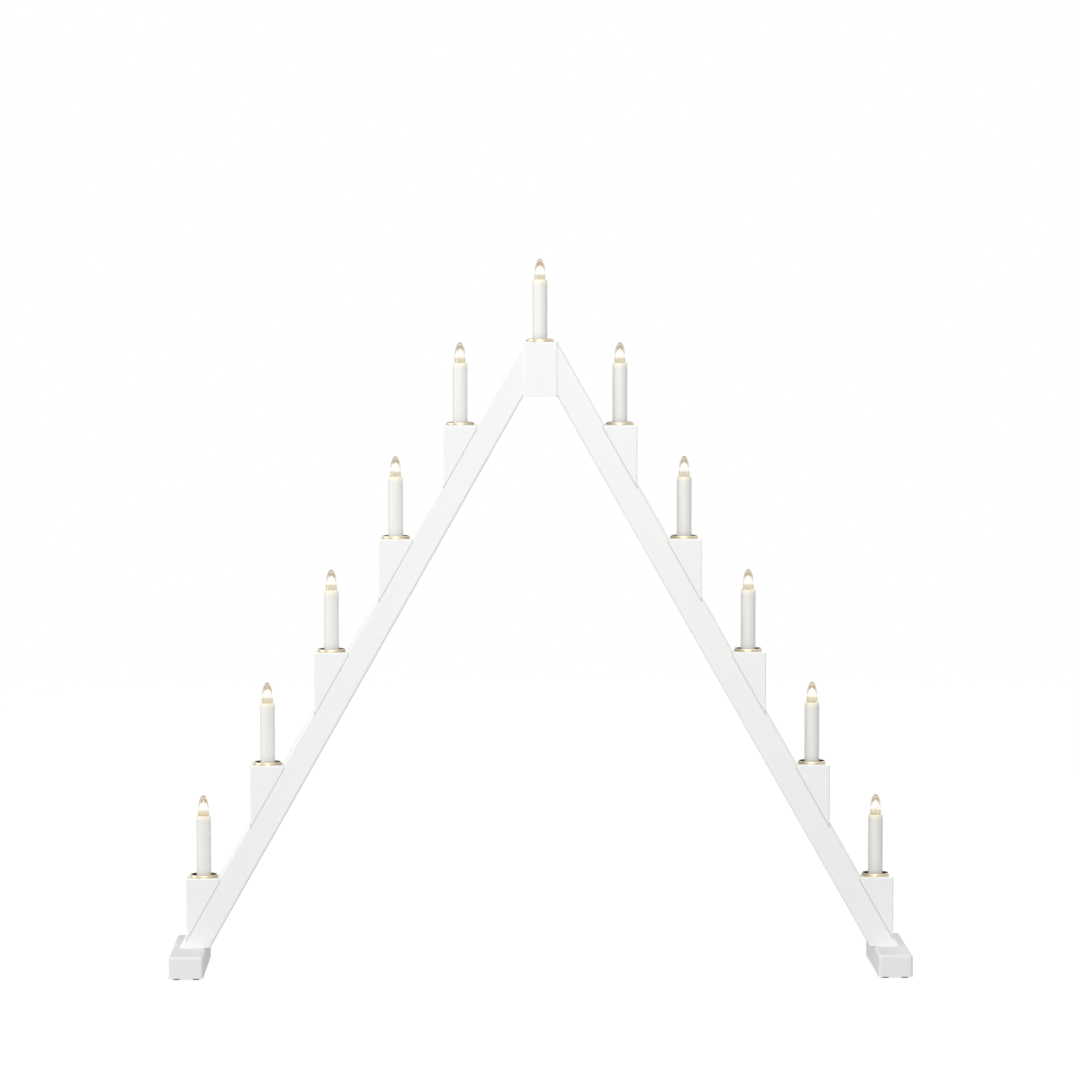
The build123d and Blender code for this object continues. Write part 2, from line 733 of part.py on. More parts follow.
def grouped_pieces():
    """The nodes that hold a group of like solids."""
    return {
        "foot_pads": foot_pads(),
        "foot_screws": foot_screws(),
        "apex_dowels": apex_dowels(),
        "brass_collars": at_candles(collar()),
        "candle_sleeves": at_candles(sleeve()),
        "sleeve_plugs": at_candles(sleeve_plug()),
        "socket_bodies": at_candles(socket_body()),
        "socket_shells": at_candles(socket_shell()),
        "socket_contacts": at_candles(spring_contact()),
        "groove_covers": groove_covers(),
        "wiring": wiring(),
    }


def bulb_pieces():
    """Three nodes for each bulb, numbered from the left foot over the apex to the right foot."""
    pieces = {}
    shapes = {"bulb_glass": bulb_glass(), "bulb_cap": bulb_cap(), "bulb_tip": bulb_tip()}
    for name, shape in shapes.items():
        for number, copy in enumerate(at_candles(shape), start=1):
            pieces[f"{name}_{number}"] = copy
    return pieces


for node, shapes in {**single_pieces(), **grouped_pieces(), **bulb_pieces()}.items():
    save(node, shapes)
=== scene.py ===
"""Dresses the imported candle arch: collars, candle sleeves, bulbs, finishes and a plain studio."""

import math

import bpy
import numpy as np
from bpy.props import FloatProperty, FloatVectorProperty, IntProperty, PointerProperty
from bpy.types import Operator, Panel, PropertyGroup
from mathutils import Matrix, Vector


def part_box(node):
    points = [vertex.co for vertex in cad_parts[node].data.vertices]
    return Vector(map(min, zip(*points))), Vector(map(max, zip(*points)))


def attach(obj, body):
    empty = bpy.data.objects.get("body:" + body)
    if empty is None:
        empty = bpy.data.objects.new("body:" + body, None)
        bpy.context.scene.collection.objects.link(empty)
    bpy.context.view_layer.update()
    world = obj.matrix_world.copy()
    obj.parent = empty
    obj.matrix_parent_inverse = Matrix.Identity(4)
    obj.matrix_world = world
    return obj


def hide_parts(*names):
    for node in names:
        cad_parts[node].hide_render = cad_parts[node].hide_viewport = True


bl_info = {
    "name": "Candle arch",
    "version": (1, 0, 0),
    "blender": (4, 5, 0),
    "location": "3D View > Sidebar > Candle arch",
    "description": "Collars, candle sleeves, bulbs, finishes and a studio "
                   "for a stepped electric candle arch",
    "category": "Add Mesh",
}

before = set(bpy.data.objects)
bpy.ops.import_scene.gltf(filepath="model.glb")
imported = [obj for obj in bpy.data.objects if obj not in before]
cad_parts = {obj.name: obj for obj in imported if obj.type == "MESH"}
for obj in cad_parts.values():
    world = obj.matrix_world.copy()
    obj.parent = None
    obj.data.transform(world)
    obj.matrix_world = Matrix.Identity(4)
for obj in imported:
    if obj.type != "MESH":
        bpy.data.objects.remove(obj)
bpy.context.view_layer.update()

BULBS = sum(name.startswith("bulb_tip_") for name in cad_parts)

FULL_TURN = 2 * math.pi
BLACK = (0.0, 0.0, 0.0)
WHITE = (1.0, 1.0, 1.0)


# Sizes and colours that a user may change

def length(name, description, value, precision=5):
    """A length in metres."""
    return FloatProperty(
        name=name, description=description, default=value, unit="LENGTH", precision=precision,
    )


def amount(name, description, value, **options):
    """A number, with its limits or its subtype."""
    return FloatProperty(name=name, description=description, default=value, **options)


def count(name, description, value, **options):
    """A whole number, with its limits."""
    return IntProperty(name=name, description=description, default=value, **options)


def spot(name, description, value):
    """A point in the scene."""
    return FloatVectorProperty(
        name=name, description=description, default=value, subtype="XYZ", unit="LENGTH",
    )


def colour(name, description, value):
    """A colour in scene-linear values."""
    return FloatVectorProperty(
        name=name, description=description, default=value, subtype="COLOR", min=0.0, max=1.0,
    )


class CandleSizes(PropertyGroup):
    """Collar and sleeve of one candle, with heights above its block's top."""

    tip_height: length("Bulb tip height", "Height of the bulb's solder tip", 0.0376)
    collar_radius: length("Collar radius", "Outer radius of the brass collar", 0.0155)
    mouth_radius: length("Mouth radius", "Radius of the collar's cup", 0.0127)
    bead_width: length("Bead width", "Width of the collar's raised bead", 0.0014)
    bead_height: length("Bead height", "Height of the collar's raised bead", 0.0024)
    cup_depth: length("Cup depth", "Depth of the collar's cup below the block's top", 0.008)
    sheet: length("Sheet", "Thickness of the pressed brass", 0.0004)
    hole_radius: length("Floor hole", "Radius of the hole in the cup's floor", 0.0047)
    sleeve_radius: length("Sleeve radius", "Outer radius of the candle sleeve", 0.0074)
    sleeve_wall: length("Sleeve wall", "Wall of the candle sleeve", 0.0013)
    sleeve_top: length("Sleeve top", "Height of the sleeve's top", 0.0615)
    sleeve_rounding: length("Sleeve rounding", "Rounding of the sleeve's top edges", 0.00055)
    segments: count("Segments", "Faces round each collar and sleeve", 72, min=12, max=256)
    turn_seed: count("Turn seed", "Seed for how each candle is turned", 7)


class BulbSizes(PropertyGroup):
    """One flame-tip bulb, with heights above its block's top."""

    cap_bottom: length("Cap bottom", "Height of the screw cap's lower end", 0.03903)
    cap_top: length("Cap top", "Height of the screw cap's rim", 0.0498)
    cap_radius: length("Thread radius", "Radius over the thread's crests", 0.00473)
    thread_pitch: length("Thread pitch", "Rise of the thread in one turn", 0.001814, precision=6)
    thread_depth: length("Thread depth", "Depth of the rolled thread", 0.0004)
    thread_turns: amount("Thread turns", "Turns of the thread round the cap", 3.6)
    thread_start: length("Thread start", "Start of the thread above the cap's end", 0.0026)
    glass_radius: length("Glass radius", "Outer radius of the glass", 0.00575)
    glass_wall: length("Glass wall", "Wall of the blown glass", 0.0006)
    neck_radius: length("Neck radius", "Outer radius of the glass inside the cap", 0.0041)
    neck_bottom: length("Neck bottom", "Height of the glass's lower end", 0.0449)
    shoulder_top: length("Shoulder top", "Height where the glass has its full width", 0.0544)
    flame_base: length("Flame base", "Height at which the flame shape begins", 0.067)
    glass_top: length("Glass top", "Height of the glass's point", 0.08199)
    point_radius: length("Point radius", "Rounding of the glass's point", 0.0028)
    point_glass: length("Point glass", "Thickness of the solid glass in the point", 0.0029)
    stem_top: length("Stem top", "Height of the glass stem", 0.0538)
    stem_radius: length("Stem radius", "Radius of the glass stem", 0.0015)
    lead_top: length("Lead top", "Height of the lead wires' hooks", 0.0688)
    lead_spread: length("Lead spread", "Distance between the hooks", 0.0024)
    lead_radius: length("Lead radius", "Radius of the lead wires", 0.00016)
    coil_turns: count("Coil turns", "Turns in the filament's coil", 22, min=4, max=80)
    coil_radius: length("Coil radius", "Radius of the filament's coil", 0.00026)
    coil_wire: length("Coil wire", "Radius of the filament's wire", 0.00007)
    segments: count("Segments", "Faces round each glass and cap", 48, min=12, max=256)


class Colours(PropertyGroup):
    """Colours of the arch's finishes."""

    lacquer: colour("Lacquer", "Satin lacquer on the wood", (0.875, 0.875, 0.87))
    lacquer_shade: colour("Lacquer shade", "Lacquer where it lies thin", (0.845, 0.845, 0.835))
    # The feet's two tones are darker than the lacquer's two as painted shade: a shaded copy of the
    # lacquer.
    foot: colour("Foot", "Lacquer on the feet", (0.835, 0.835, 0.83))
    foot_shade: colour("Foot shade", "Thin lacquer on the feet", (0.805, 0.805, 0.795))
    # Painted shade along the step blocks' joint lines, not a colour of the lacquer.
    joint: colour("Joint", "Lacquer in the step blocks' joints", (0.60, 0.60, 0.60))
    brass: colour("Brass", "Bright brass of the collars' rims", (0.96, 0.89, 0.71))
    brass_bloom: colour("Brass bloom", "Tarnish on the bright brass", (0.84, 0.72, 0.46))
    # Painted shade in the collars' cups, not a colour of the brass.
    brass_cup_shade: colour("Dull brass", "Brass in the collars' cups", (0.20, 0.145, 0.065))
    # Painted shade in the crease outside the bead, also a darker tone on the flange's outer edge.
    brass_crease_shade_and_edge: colour("Soiled brass", "Brass in creases and cut edges", (0.40, 0.32, 0.15))
    ivory: colour("Ivory", "Plastic of the candle sleeves", (0.82, 0.81, 0.77))
    ivory_shade: colour("Ivory shade", "Flow marks in the plastic", (0.80, 0.79, 0.745))
    ivory_lit: colour("Lit ivory", "Plastic beside the bulb's light", (0.90, 0.84, 0.70))
    ivory_glow: colour("Ivory glow", "Light through the sleeve's top", (0.15, 0.12, 0.07))
    glass: colour("Glass", "Clear glass of the bulbs", (0.985, 0.965, 0.935))
    # Painted reflection of the brass below, tinting the glass from its neck to the flame's base.
    band_reflection: colour("Band", "Warm glass above the sleeve", (0.87, 0.82, 0.72))
    # Painted reflection of the filament's light in the solid point, not a tint of the glass.
    point: colour("Point", "Smoky amber of the bulbs' solid points", (0.72, 0.64, 0.495))
    # Painted reflection of a dark surround on glass seen edge-on, not a tint of the glass.
    outline: colour("Outline", "Smoky tone of glass seen edge-on", (0.34, 0.295, 0.25))
    cast: colour("Cast", "Light that passed through glass", (1.0, 0.97, 0.92))
    glow: colour("Glow", "Light round the filament", (1.0, 0.83, 0.55))
    stem: colour("Stem", "Clearer glass of the stems", (0.95, 0.90, 0.80))
    stem_cloud: colour("Stem cloud", "Milky glass of the stems", (0.86, 0.76, 0.60))
    coil: colour("Coil", "Bare wire of the filament", (0.3, 0.28, 0.26))
    filament: colour("Filament", "Light of the filament itself", (1.0, 0.72, 0.38))
    filament_hot: colour("Hot filament", "Light of its hottest turns", (1.0, 0.86, 0.60))
    nickel: colour("Nickel", "Plating of the bulbs' screw caps", (0.66, 0.63, 0.57))
    nickel_worn: colour("Worn nickel", "Rubbed plating of the caps", (0.50, 0.45, 0.36))
    lead_worn: colour("Worn lead wire", "Heat-stained wire in the bulbs", (0.42, 0.36, 0.26))
    solder: colour("Solder", "Solder on the bulbs' tips", (0.45, 0.45, 0.46))
    solder_worn: colour("Worn solder", "Oxide on the solder", (0.30, 0.30, 0.31))
    socket_brass: colour("Socket brass", "Rolled brass of the sockets", (0.72, 0.56, 0.27))
    socket_worn: colour("Worn socket", "Tarnish on the sockets' brass", (0.50, 0.36, 0.16))
    steel: colour("Steel", "Zinc plate on the foot screws", (0.58, 0.59, 0.61))
    steel_worn: colour("Worn steel", "Dull patches of the zinc", (0.42, 0.42, 0.41))
    rubber: colour("Rubber", "Rubber of the feet's pads", (0.075, 0.075, 0.08))
    pale_rubber: colour("Pale rubber", "Rubber of the cord grommet", (0.72, 0.72, 0.70))
    moulding: colour("Moulding", "Plastic of the sockets and plugs", (0.70, 0.69, 0.65))
    wire: colour("Wire", "Insulation of the wires", (0.74, 0.74, 0.72))
    beech: colour("Beech", "Bare wood of the dowels", (0.56, 0.37, 0.20))


class StudioSizes(PropertyGroup):
    """Camera, lamps and floor."""

    distance: length("Camera distance", "From the camera to the aim point", 4.4)
    bearing: amount("Bearing", "Camera's turn to the left", math.radians(1.0), subtype="ANGLE")
    pitch: amount("Pitch", "How far the camera looks down", math.radians(4.0), subtype="ANGLE")
    aim: spot("Aim point", "Point in the middle of the picture", (0.0, 0.0, 0.432))
    lens: amount("Lens", "Focal length in millimetres", 146.7)
    ambient: amount("Ambient", "Strength of the light from all round", 0.50)
    lamp_size: length("Lamp size", "Side of each lamp", 2.0)
    key: amount("Key", "Watts of the soft lamp in front", 51.0)
    key_place: spot("Key place", "Middle of the soft lamp", (-0.18, -2.6, 1.6))
    fill: amount("Fill", "Watts of the lamp at the left", 45.0)
    fill_place: spot("Fill place", "Middle of the lamp at the left", (-4.0, -0.6, 0.9))
    back: amount("Back", "Watts of the lamp behind", 20.0)
    back_place: spot("Back place", "Middle of the lamp behind", (0.6, 3.4, 0.45))
    floor_shade: amount("Floor shade", "How strongly shadows show on it", 0.36, min=0.0, max=1.0)
    floor_glow: amount("Floor glow", "Share of its white that no shadow dims", 0.80)
    floor_near: length("Shaded floor", "How far from the arch shadows show", 1.0)
    floor_far: length("White floor", "How far from the arch it is plain white", 3.0)
    floor_bounce: amount("Floor bounce", "Share of light thrown back", 0.50, min=0.0, max=1.0)


# Node trees

class Wire:
    """An output socket of a node tree. Sums on wires add Math nodes to the tree."""

    def __init__(self, tree, socket):
        self.tree = tree
        self.socket = socket

    def maths(self, operation, *others):
        """A Math node on this wire and up to two more wires or numbers."""
        values = dict(enumerate((self, *others)))
        return self.tree.node("ShaderNodeMath", values, operation=operation)[0]

    def __add__(self, other):
        return self.maths("ADD", other)

    def __sub__(self, other):
        return self.maths("SUBTRACT", other)

    def __rsub__(self, other):
        return self.tree.node("ShaderNodeMath", {0: other, 1: self}, operation="SUBTRACT")[0]

    def __mul__(self, other):
        return self.maths("MULTIPLY", other)

    __radd__ = __add__
    __rmul__ = __mul__


class Tree:
    """A node tree that is being built."""

    def __init__(self, tree):
        self.tree = tree

    def node(self, kind, values=None, **settings):
        """Add a node. It gets its settings, then values or wires, and gives its outputs."""
        made = self.tree.nodes.new(kind)
        for name, value in settings.items():
            setattr(made, name, value)
        for key, value in (values or {}).items():
            wires = value if isinstance(value, list) else [value]
            if isinstance(wires[0], Wire):
                for wire in wires:
                    self.tree.links.new(wire.socket, made.inputs[key])
            else:
                made.inputs[key].default_value = value
        outputs = (*enumerate(made.outputs), *made.outputs.items())
        return {key: Wire(self, socket) for key, socket in outputs}

    def blend(self, factor, first, second):
        """A colour between two colours or wires."""
        values = {0: factor, 6: rgba(first), 7: rgba(second)}
        return self.node("ShaderNodeMix", values, data_type="RGBA", clamp_factor=True)[2]

    def either(self, factor, first, second):
        """A surface between two surfaces."""
        return self.node("ShaderNodeMixShader", {0: factor, 1: first, 2: second})[0]

    def step(self, value, low, high):
        """0 below low, 1 above high and smooth between them."""
        values = {0: value, 1: low, 2: high}
        return self.node("ShaderNodeMapRange", values, interpolation_type="SMOOTHSTEP")[0]

    def fade(self, value, start, span):
        """A step whose two ends are given from a start."""
        return self.step(value, start + span[0], start + span[1])

    def line(self, value, near, far):
        """1 where a value is nearly 0, and 0 where it is far from it."""
        return 1.0 - self.step(value.maths("ABSOLUTE"), near, far)

    def vectors(self, operation, first, second):
        """A Vector Math node on two vectors."""
        return self.node("ShaderNodeVectorMath", {0: first, 1: second}, operation=operation)[0]

    def scaled(self, vector, factor):
        """A vector made longer or shorter."""
        return self.node("ShaderNodeVectorMath", {0: vector, "Scale": factor}, operation="SCALE")[0]

    def noise(self, place, scale, detail):
        """Noise between 0 and 1, with one scale or one for each axis."""
        if isinstance(scale, tuple):
            place, scale = self.vectors("MULTIPLY", place, scale), 1.0
        values = {"Vector": place, "Scale": scale, "Detail": detail}
        return self.node("ShaderNodeTexNoise", values)[0]

    def relief(self, height, depth, strength):
        """A bumped normal from a height between 0 and 1."""
        values = {"Strength": strength, "Distance": depth, "Height": height}
        return self.node("ShaderNodeBump", values)["Normal"]

    def place(self):
        """The piece's own coordinates, in metres."""
        return self.node("ShaderNodeTexCoord")["Object"]

    def attribute(self, name):
        """A number stored on the piece's points."""
        return self.node("ShaderNodeAttribute", attribute_name=name)["Fac"]

    def round_and_up(self):
        """How far round a turned piece, and how high on it, from its UV map."""
        return self.node("ShaderNodeSeparateXYZ", {0: self.node("ShaderNodeUVMap")["UV"]})


class Finish(Tree):
    """The tree of a new material."""

    def __init__(self, name):
        self.material = bpy.data.materials.new(name)
        self.material.use_nodes = True
        self.material.node_tree.nodes.clear()
        super().__init__(self.material.node_tree)

    def principled(self, values):
        """A Principled surface with these values."""
        return self.node("ShaderNodeBsdfPrincipled", values)["BSDF"]

    def ended(self, surface):
        """The material, which now shows this surface."""
        self.node("ShaderNodeOutputMaterial", {"Surface": surface})
        return self.material


def rgba(value):
    """A colour with its alpha, or the wire that was given."""
    return value if isinstance(value, Wire) else (*value[:3], 1.0)


# Finishes

# Patches of each pattern in a metre, or along each axis
GRAIN = (14.0, 760.0, 760.0)
PORES = (90.0, 2800.0, 2800.0)
ORANGE_PEEL = 620.0
LACQUER_CLOUD = 9.0
BRASS_BLOOM = 330.0
IVORY_FLOW = (420.0, 420.0, 45.0)
IVORY_FINE = 1900.0
GLASS_SWIRL = (260.0, 260.0, 120.0)
STEM_CLOUD = 900.0
FILAMENT_HEAT = 2600.0
MOULDED_CLOUD = 60.0
BEECH_FIBRES = (70.0, 1600.0, 1600.0)
# Lines of turned brass: in a metre of radius, in a turn and in a unit of the UV map's height
TURNED_LINES = (9000.0, 5.0, 40.0)

# Half widths at which a mark begins to fade and is gone, in metres or, for the seam, half turns
JOINT_LINE = (0.0004, 0.0011)
CREASE_LINE = (0.0001, 0.0004)
MOULD_SEAM = (0.003, 0.014)
# JOINT_LINE gives the width of the painted joint shade, CREASE_LINE that of the painted crease
# shade.

# Where a finish changes, as one or two heights or radii from an edge of its piece
# CREASE_OUTSIDE_BEAD places the painted crease shade; the edge range only darkens the flange's
# outer edge.
CREASE_OUTSIDE_BEAD = 0.0002
DARKER_RIM_EDGE = (-0.0003, -0.0001)
SLEEVE_LIT = (-0.0075, 0.0003)
GLASS_POINT = (-0.0088, -0.0050)
GLASS_NECK = (-0.0014, 0.0006)
GLASS_FLAME = (0.0015, 0.0060)
GLOW_BEGINS = (-0.0030, 0.0020)
GLOW_ENDS = (0.0045, 0.0095)

GLASS_IOR = 1.5
FILAMENT_LIGHT = 25.0
GLASS_LIGHT = 0.05


def joint_shade(tree, place, joint):
    """1 along the line that a joint through two points (x, z) draws on its block, 0 off it: the
    mask of the painted shade in the joint.
    """
    (x0, z0), (x1, z1) = joint
    run = math.hypot(x1 - x0, z1 - z0)
    parts = tree.node("ShaderNodeSeparateXYZ", {0: place})
    away = (parts[0] - x0) * ((z1 - z0) / run) - (parts[2] - z0) * ((x1 - x0) / run)
    return tree.line(away, *JOINT_LINE)


def satin_lacquer(
    name, colours, turn, joint=None, tones=None,
    gloss=0.3, dullness=0.42, varnish=0.6, thinness=1.0,
):
    """White lacquer sprayed over fine-grained wood, whose grain runs along X once turned, with
    painted shade along a joint's line if one is given.
    """
    tree = Finish(name)
    place = tree.place()
    values = {"Vector": place, "Rotation": turn}
    turned = tree.node("ShaderNodeVectorRotate", values, rotation_type="EULER_XYZ")[0]
    grain = tree.noise(turned, GRAIN, 3.0)
    pores = tree.noise(turned, PORES, 1.0)
    peel = tree.noise(place, ORANGE_PEEL, 1.0)
    cloud = tree.noise(place, LACQUER_CLOUD, 1.0)
    open_pores = tree.step(pores, 0.62, 0.74)
    thin = tree.step(grain, 0.45, 0.75) * 0.55 + open_pores * 0.25 + cloud * 0.2
    height = grain * 0.4 + peel * 0.6 - open_pores * 0.3
    # Given tones replace the lacquer's; the feet's darker tones are painted shade.
    thick, shade = tones or (colours.lacquer, colours.lacquer_shade)
    base = tree.blend(thin * thinness, thick, shade)
    # Painted shade along the block's joint line.
    if joint:
        base = tree.blend(joint_shade(tree, place, joint), base, colours.joint)
    return tree.ended(tree.principled({
        "Base Color": base,
        "Roughness": peel * 0.10 + grain * 0.06 + dullness,
        "Specular IOR Level": gloss,
        "Coat Weight": varnish,
        "Coat Roughness": 0.12,
        "Normal": tree.relief(height, 0.00003, 0.8),
    }))


def collar_brass(colours, sizes):
    """Bright turned brass on the rim; painted shade darkens the cup, the slope down to it and the
    crease outside the bead, and the flange's outer edge is darker.
    """
    tree = Finish("Brass.collars")
    radius = tree.attribute("radius")
    around = tree.round_and_up()
    across, turns, along = TURNED_LINES
    lines = tree.node("ShaderNodeCombineXYZ", {
        0: radius * across, 1: around[0] * turns, 2: around[1] * along,
    })[0]
    turning = tree.noise(lines, 1.0, 2.0)
    bloom = tree.noise(tree.place(), BRASS_BLOOM, 3.0)
    mouth, bead = sizes.mouth_radius, sizes.bead_width
    # bright is 0 in the cup and on its slope, where the painted shade goes.
    bright = tree.step(radius, mouth + bead * 0.25, mouth + bead * 0.60)
    spots = tree.step(bloom, 0.52, 0.80) * 0.35
    # A painted shade line in the crease outside the bead, and a darker strip on the flange's outer
    # edge.
    crease_shade = tree.line(radius - (mouth + bead) - CREASE_OUTSIDE_BEAD, *CREASE_LINE)
    darker_rim_edge = tree.fade(radius, sizes.collar_radius, DARKER_RIM_EDGE)
    rim = tree.blend(spots, colours.brass, colours.brass_bloom)
    rim = tree.blend((crease_shade * 0.85).maths("MAXIMUM", darker_rim_edge * 0.35), rim, colours.brass_crease_shade_and_edge)
    return tree.ended(tree.principled({
        # Painted shade in the cup, brass on the rim.
        "Base Color": tree.blend(bright, colours.brass_cup_shade, rim),
        "Metallic": 1.0,
        "Roughness": turning * 0.10 + spots * 0.15 + (1.0 - bright) * 0.20 + 0.30,
        "Normal": tree.relief(turning, 0.000012, 0.7),
    }))


def ivory_plastic(colours, sizes):
    """Ivory plastic with faint flow marks and mould seams, lit through near its top."""
    tree = Finish("Ivory.sleeves")
    place = tree.place()
    flow = tree.noise(place, IVORY_FLOW, 2.0)
    fine = tree.noise(place, IVORY_FINE, 2.0)
    half_turn = (tree.round_and_up()[0] * 2.0).maths("FRACT")
    seam = tree.line(half_turn - 0.5, *MOULD_SEAM)
    lit = tree.fade(tree.attribute("height"), sizes.sleeve_top, SLEEVE_LIT)
    base = tree.blend(tree.step(flow, 0.35, 0.75) * 0.8, colours.ivory, colours.ivory_shade)
    return tree.ended(tree.principled({
        "Base Color": tree.blend(lit * 0.6, base, colours.ivory_lit),
        "Roughness": flow * 0.14 + fine * 0.08 + 0.28,
        "Specular IOR Level": 0.45,
        "Emission Color": tree.blend(lit * lit, BLACK, colours.ivory_glow),
        "Emission Strength": 1.0,
        "Normal": tree.relief(flow * 0.6 + fine * 0.15 + seam * 0.8, 0.00004, 0.6),
    }))


def bulb_glass(colours, sizes):
    """Clear glass with painted reflections: warm from its neck to the flame, amber in its point and
    dark edge-on; it glows round the filament.
    """
    tree = Finish("Glass.bulbs")
    height, base = tree.attribute("height"), sizes.flame_base
    # point: where the painted reflection in the solid point goes.
    point = tree.fade(height, sizes.glass_top, GLASS_POINT)
    # neck: where the painted reflection of the brass goes.
    neck = 1.0 - tree.fade(height, base, GLASS_NECK)
    flame = tree.fade(height, base, GLASS_FLAME)
    lit = tree.fade(height, base, GLOW_BEGINS) * (1.0 - tree.fade(height, base, GLOW_ENDS))
    swirl = tree.noise(tree.place(), GLASS_SWIRL, 2.0)
    tint = tree.blend(point, tree.blend(neck, colours.glass, colours.band_reflection), colours.point)
    values = {
        "Roughness": 0.015,
        "IOR": GLASS_IOR,
        "Transmission Weight": 1.0,
        "Emission Color": tree.blend(lit, BLACK, colours.glow),
        "Emission Strength": GLASS_LIGHT,
        "Normal": tree.relief(swirl, 0.00004, 0.35),
    }
    clear = tree.principled({**values, "Base Color": tint})
    # Darker glass for the painted edge reflection.
    dark_edge_reflection = tree.principled({**values, "Base Color": rgba(colours.outline)})
    turned_away = tree.node("ShaderNodeLayerWeight", {"Blend": 0.5})["Facing"]
    # edge: share of the painted edge reflection, more on the flame than below it.
    edge = tree.step(turned_away, 0.10, 0.70) * (flame * 0.68 + 0.30)
    passing = tree.node("ShaderNodeBsdfTransparent", {"Color": rgba(colours.cast)})[0]
    shadow = tree.node("ShaderNodeLightPath")["Is Shadow Ray"]
    return tree.ended(tree.either(shadow, tree.either(edge, clear, dark_edge_reflection), passing))


def stem_glass(colours):
    """The pressed glass stem, slightly milky."""
    tree = Finish("Glass.stems")
    cloud = tree.noise(tree.place(), STEM_CLOUD, 2.0)
    return tree.ended(tree.principled({
        "Base Color": tree.blend(cloud, colours.stem, colours.stem_cloud),
        "Roughness": cloud * 0.2 + 0.1,
        "IOR": GLASS_IOR,
        "Transmission Weight": 0.7,
        "Normal": tree.relief(cloud, 0.00008, 0.6),
    }))


def glowing_filament(colours):
    """A filament that is hotter in some turns than in others."""
    tree = Finish("Light.filaments")
    heat = tree.noise(tree.place(), FILAMENT_HEAT, 1.0)
    return tree.ended(tree.principled({
        "Base Color": rgba(colours.coil),
        "Roughness": 0.5,
        "Emission Color": tree.blend(heat, colours.filament, colours.filament_hot),
        "Emission Strength": FILAMENT_LIGHT,
    }))


def worn_metal(name, tone, worn, roughness, fineness=700.0):
    """Plated or rolled metal with fine scratches and duller patches."""
    tree = Finish(name)
    place = tree.place()
    patches = tree.noise(place, fineness * 0.35, 3.0)
    scratches = tree.noise(place, (fineness * 6.0, fineness * 6.0, fineness * 0.6), 1.0)
    dull = tree.step(patches, 0.45, 0.75)
    return tree.ended(tree.principled({
        "Base Color": tree.blend(dull * 0.6, tone, worn),
        "Metallic": 1.0,
        "Roughness": dull * 0.18 + scratches * 0.12 + roughness,
        "Normal": tree.relief(scratches, 0.00001, 0.6),
    }))


def moulded(name, tone, roughness, grain=1500.0, depth=0.00004):
    """Moulded plastic or rubber with a fine even texture and slight clouding."""
    tree = Finish(name)
    place = tree.place()
    texture = tree.noise(place, grain, 2.0)
    cloud = tree.noise(place, MOULDED_CLOUD, 2.0)
    darker = [part * 0.86 for part in tone]
    return tree.ended(tree.principled({
        "Base Color": tree.blend(cloud * 0.6 + texture * 0.3, tone, darker),
        "Roughness": texture * 0.16 + roughness,
        "Specular IOR Level": 0.4,
        "Normal": tree.relief(texture, depth, 0.7),
    }))


def bare_beech(colours):
    """Unpainted dowel wood, with its grain across the arch."""
    tree = Finish("Beech.dowels")
    fibres = tree.noise(tree.place(), BEECH_FIBRES, 3.0)
    flecks = tree.step(fibres, 0.58, 0.70)
    darker = [part * 0.62 for part in colours.beech]
    return tree.ended(tree.principled({
        "Base Color": tree.blend(fibres * 0.5 + flecks * 0.4, colours.beech, darker),
        "Roughness": fibres * 0.2 + 0.55,
        "Normal": tree.relief(fibres, 0.00006, 0.8),
    }))


def paint_nodes(material, *names):
    """Give CAD nodes a material on all their slots."""
    for name in names:
        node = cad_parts[name]
        if not node.material_slots:
            node.data.materials.append(material)
        for slot in node.material_slots:
            slot.material = material


# Shapes

ON_AXIS = 1e-7
SHARP_ANGLE = math.radians(38)
UV_RISE, UV_START = 10.0, 0.1


def candle_feet():
    """The foot of every candle by its number, from the left foot over the apex to the right."""
    tip_height = bpy.context.scene.arch_candles.tip_height
    feet = {}
    for number in range(1, BULBS + 1):
        low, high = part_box(f"bulb_tip_{number}")
        middle = (low + high) / 2
        feet[number] = Vector((middle.x, middle.y, low.z - tip_height))
    return feet


def arc(centre, radii, start, end, number):
    """Points of an arc in the plane of radius and height, with one radius or two, in degrees."""
    wide, high = radii if isinstance(radii, tuple) else (radii, radii)
    angles = np.radians(np.linspace(start, end, number))
    return [(centre[0] + wide * math.cos(a), centre[1] + high * math.sin(a)) for a in angles]


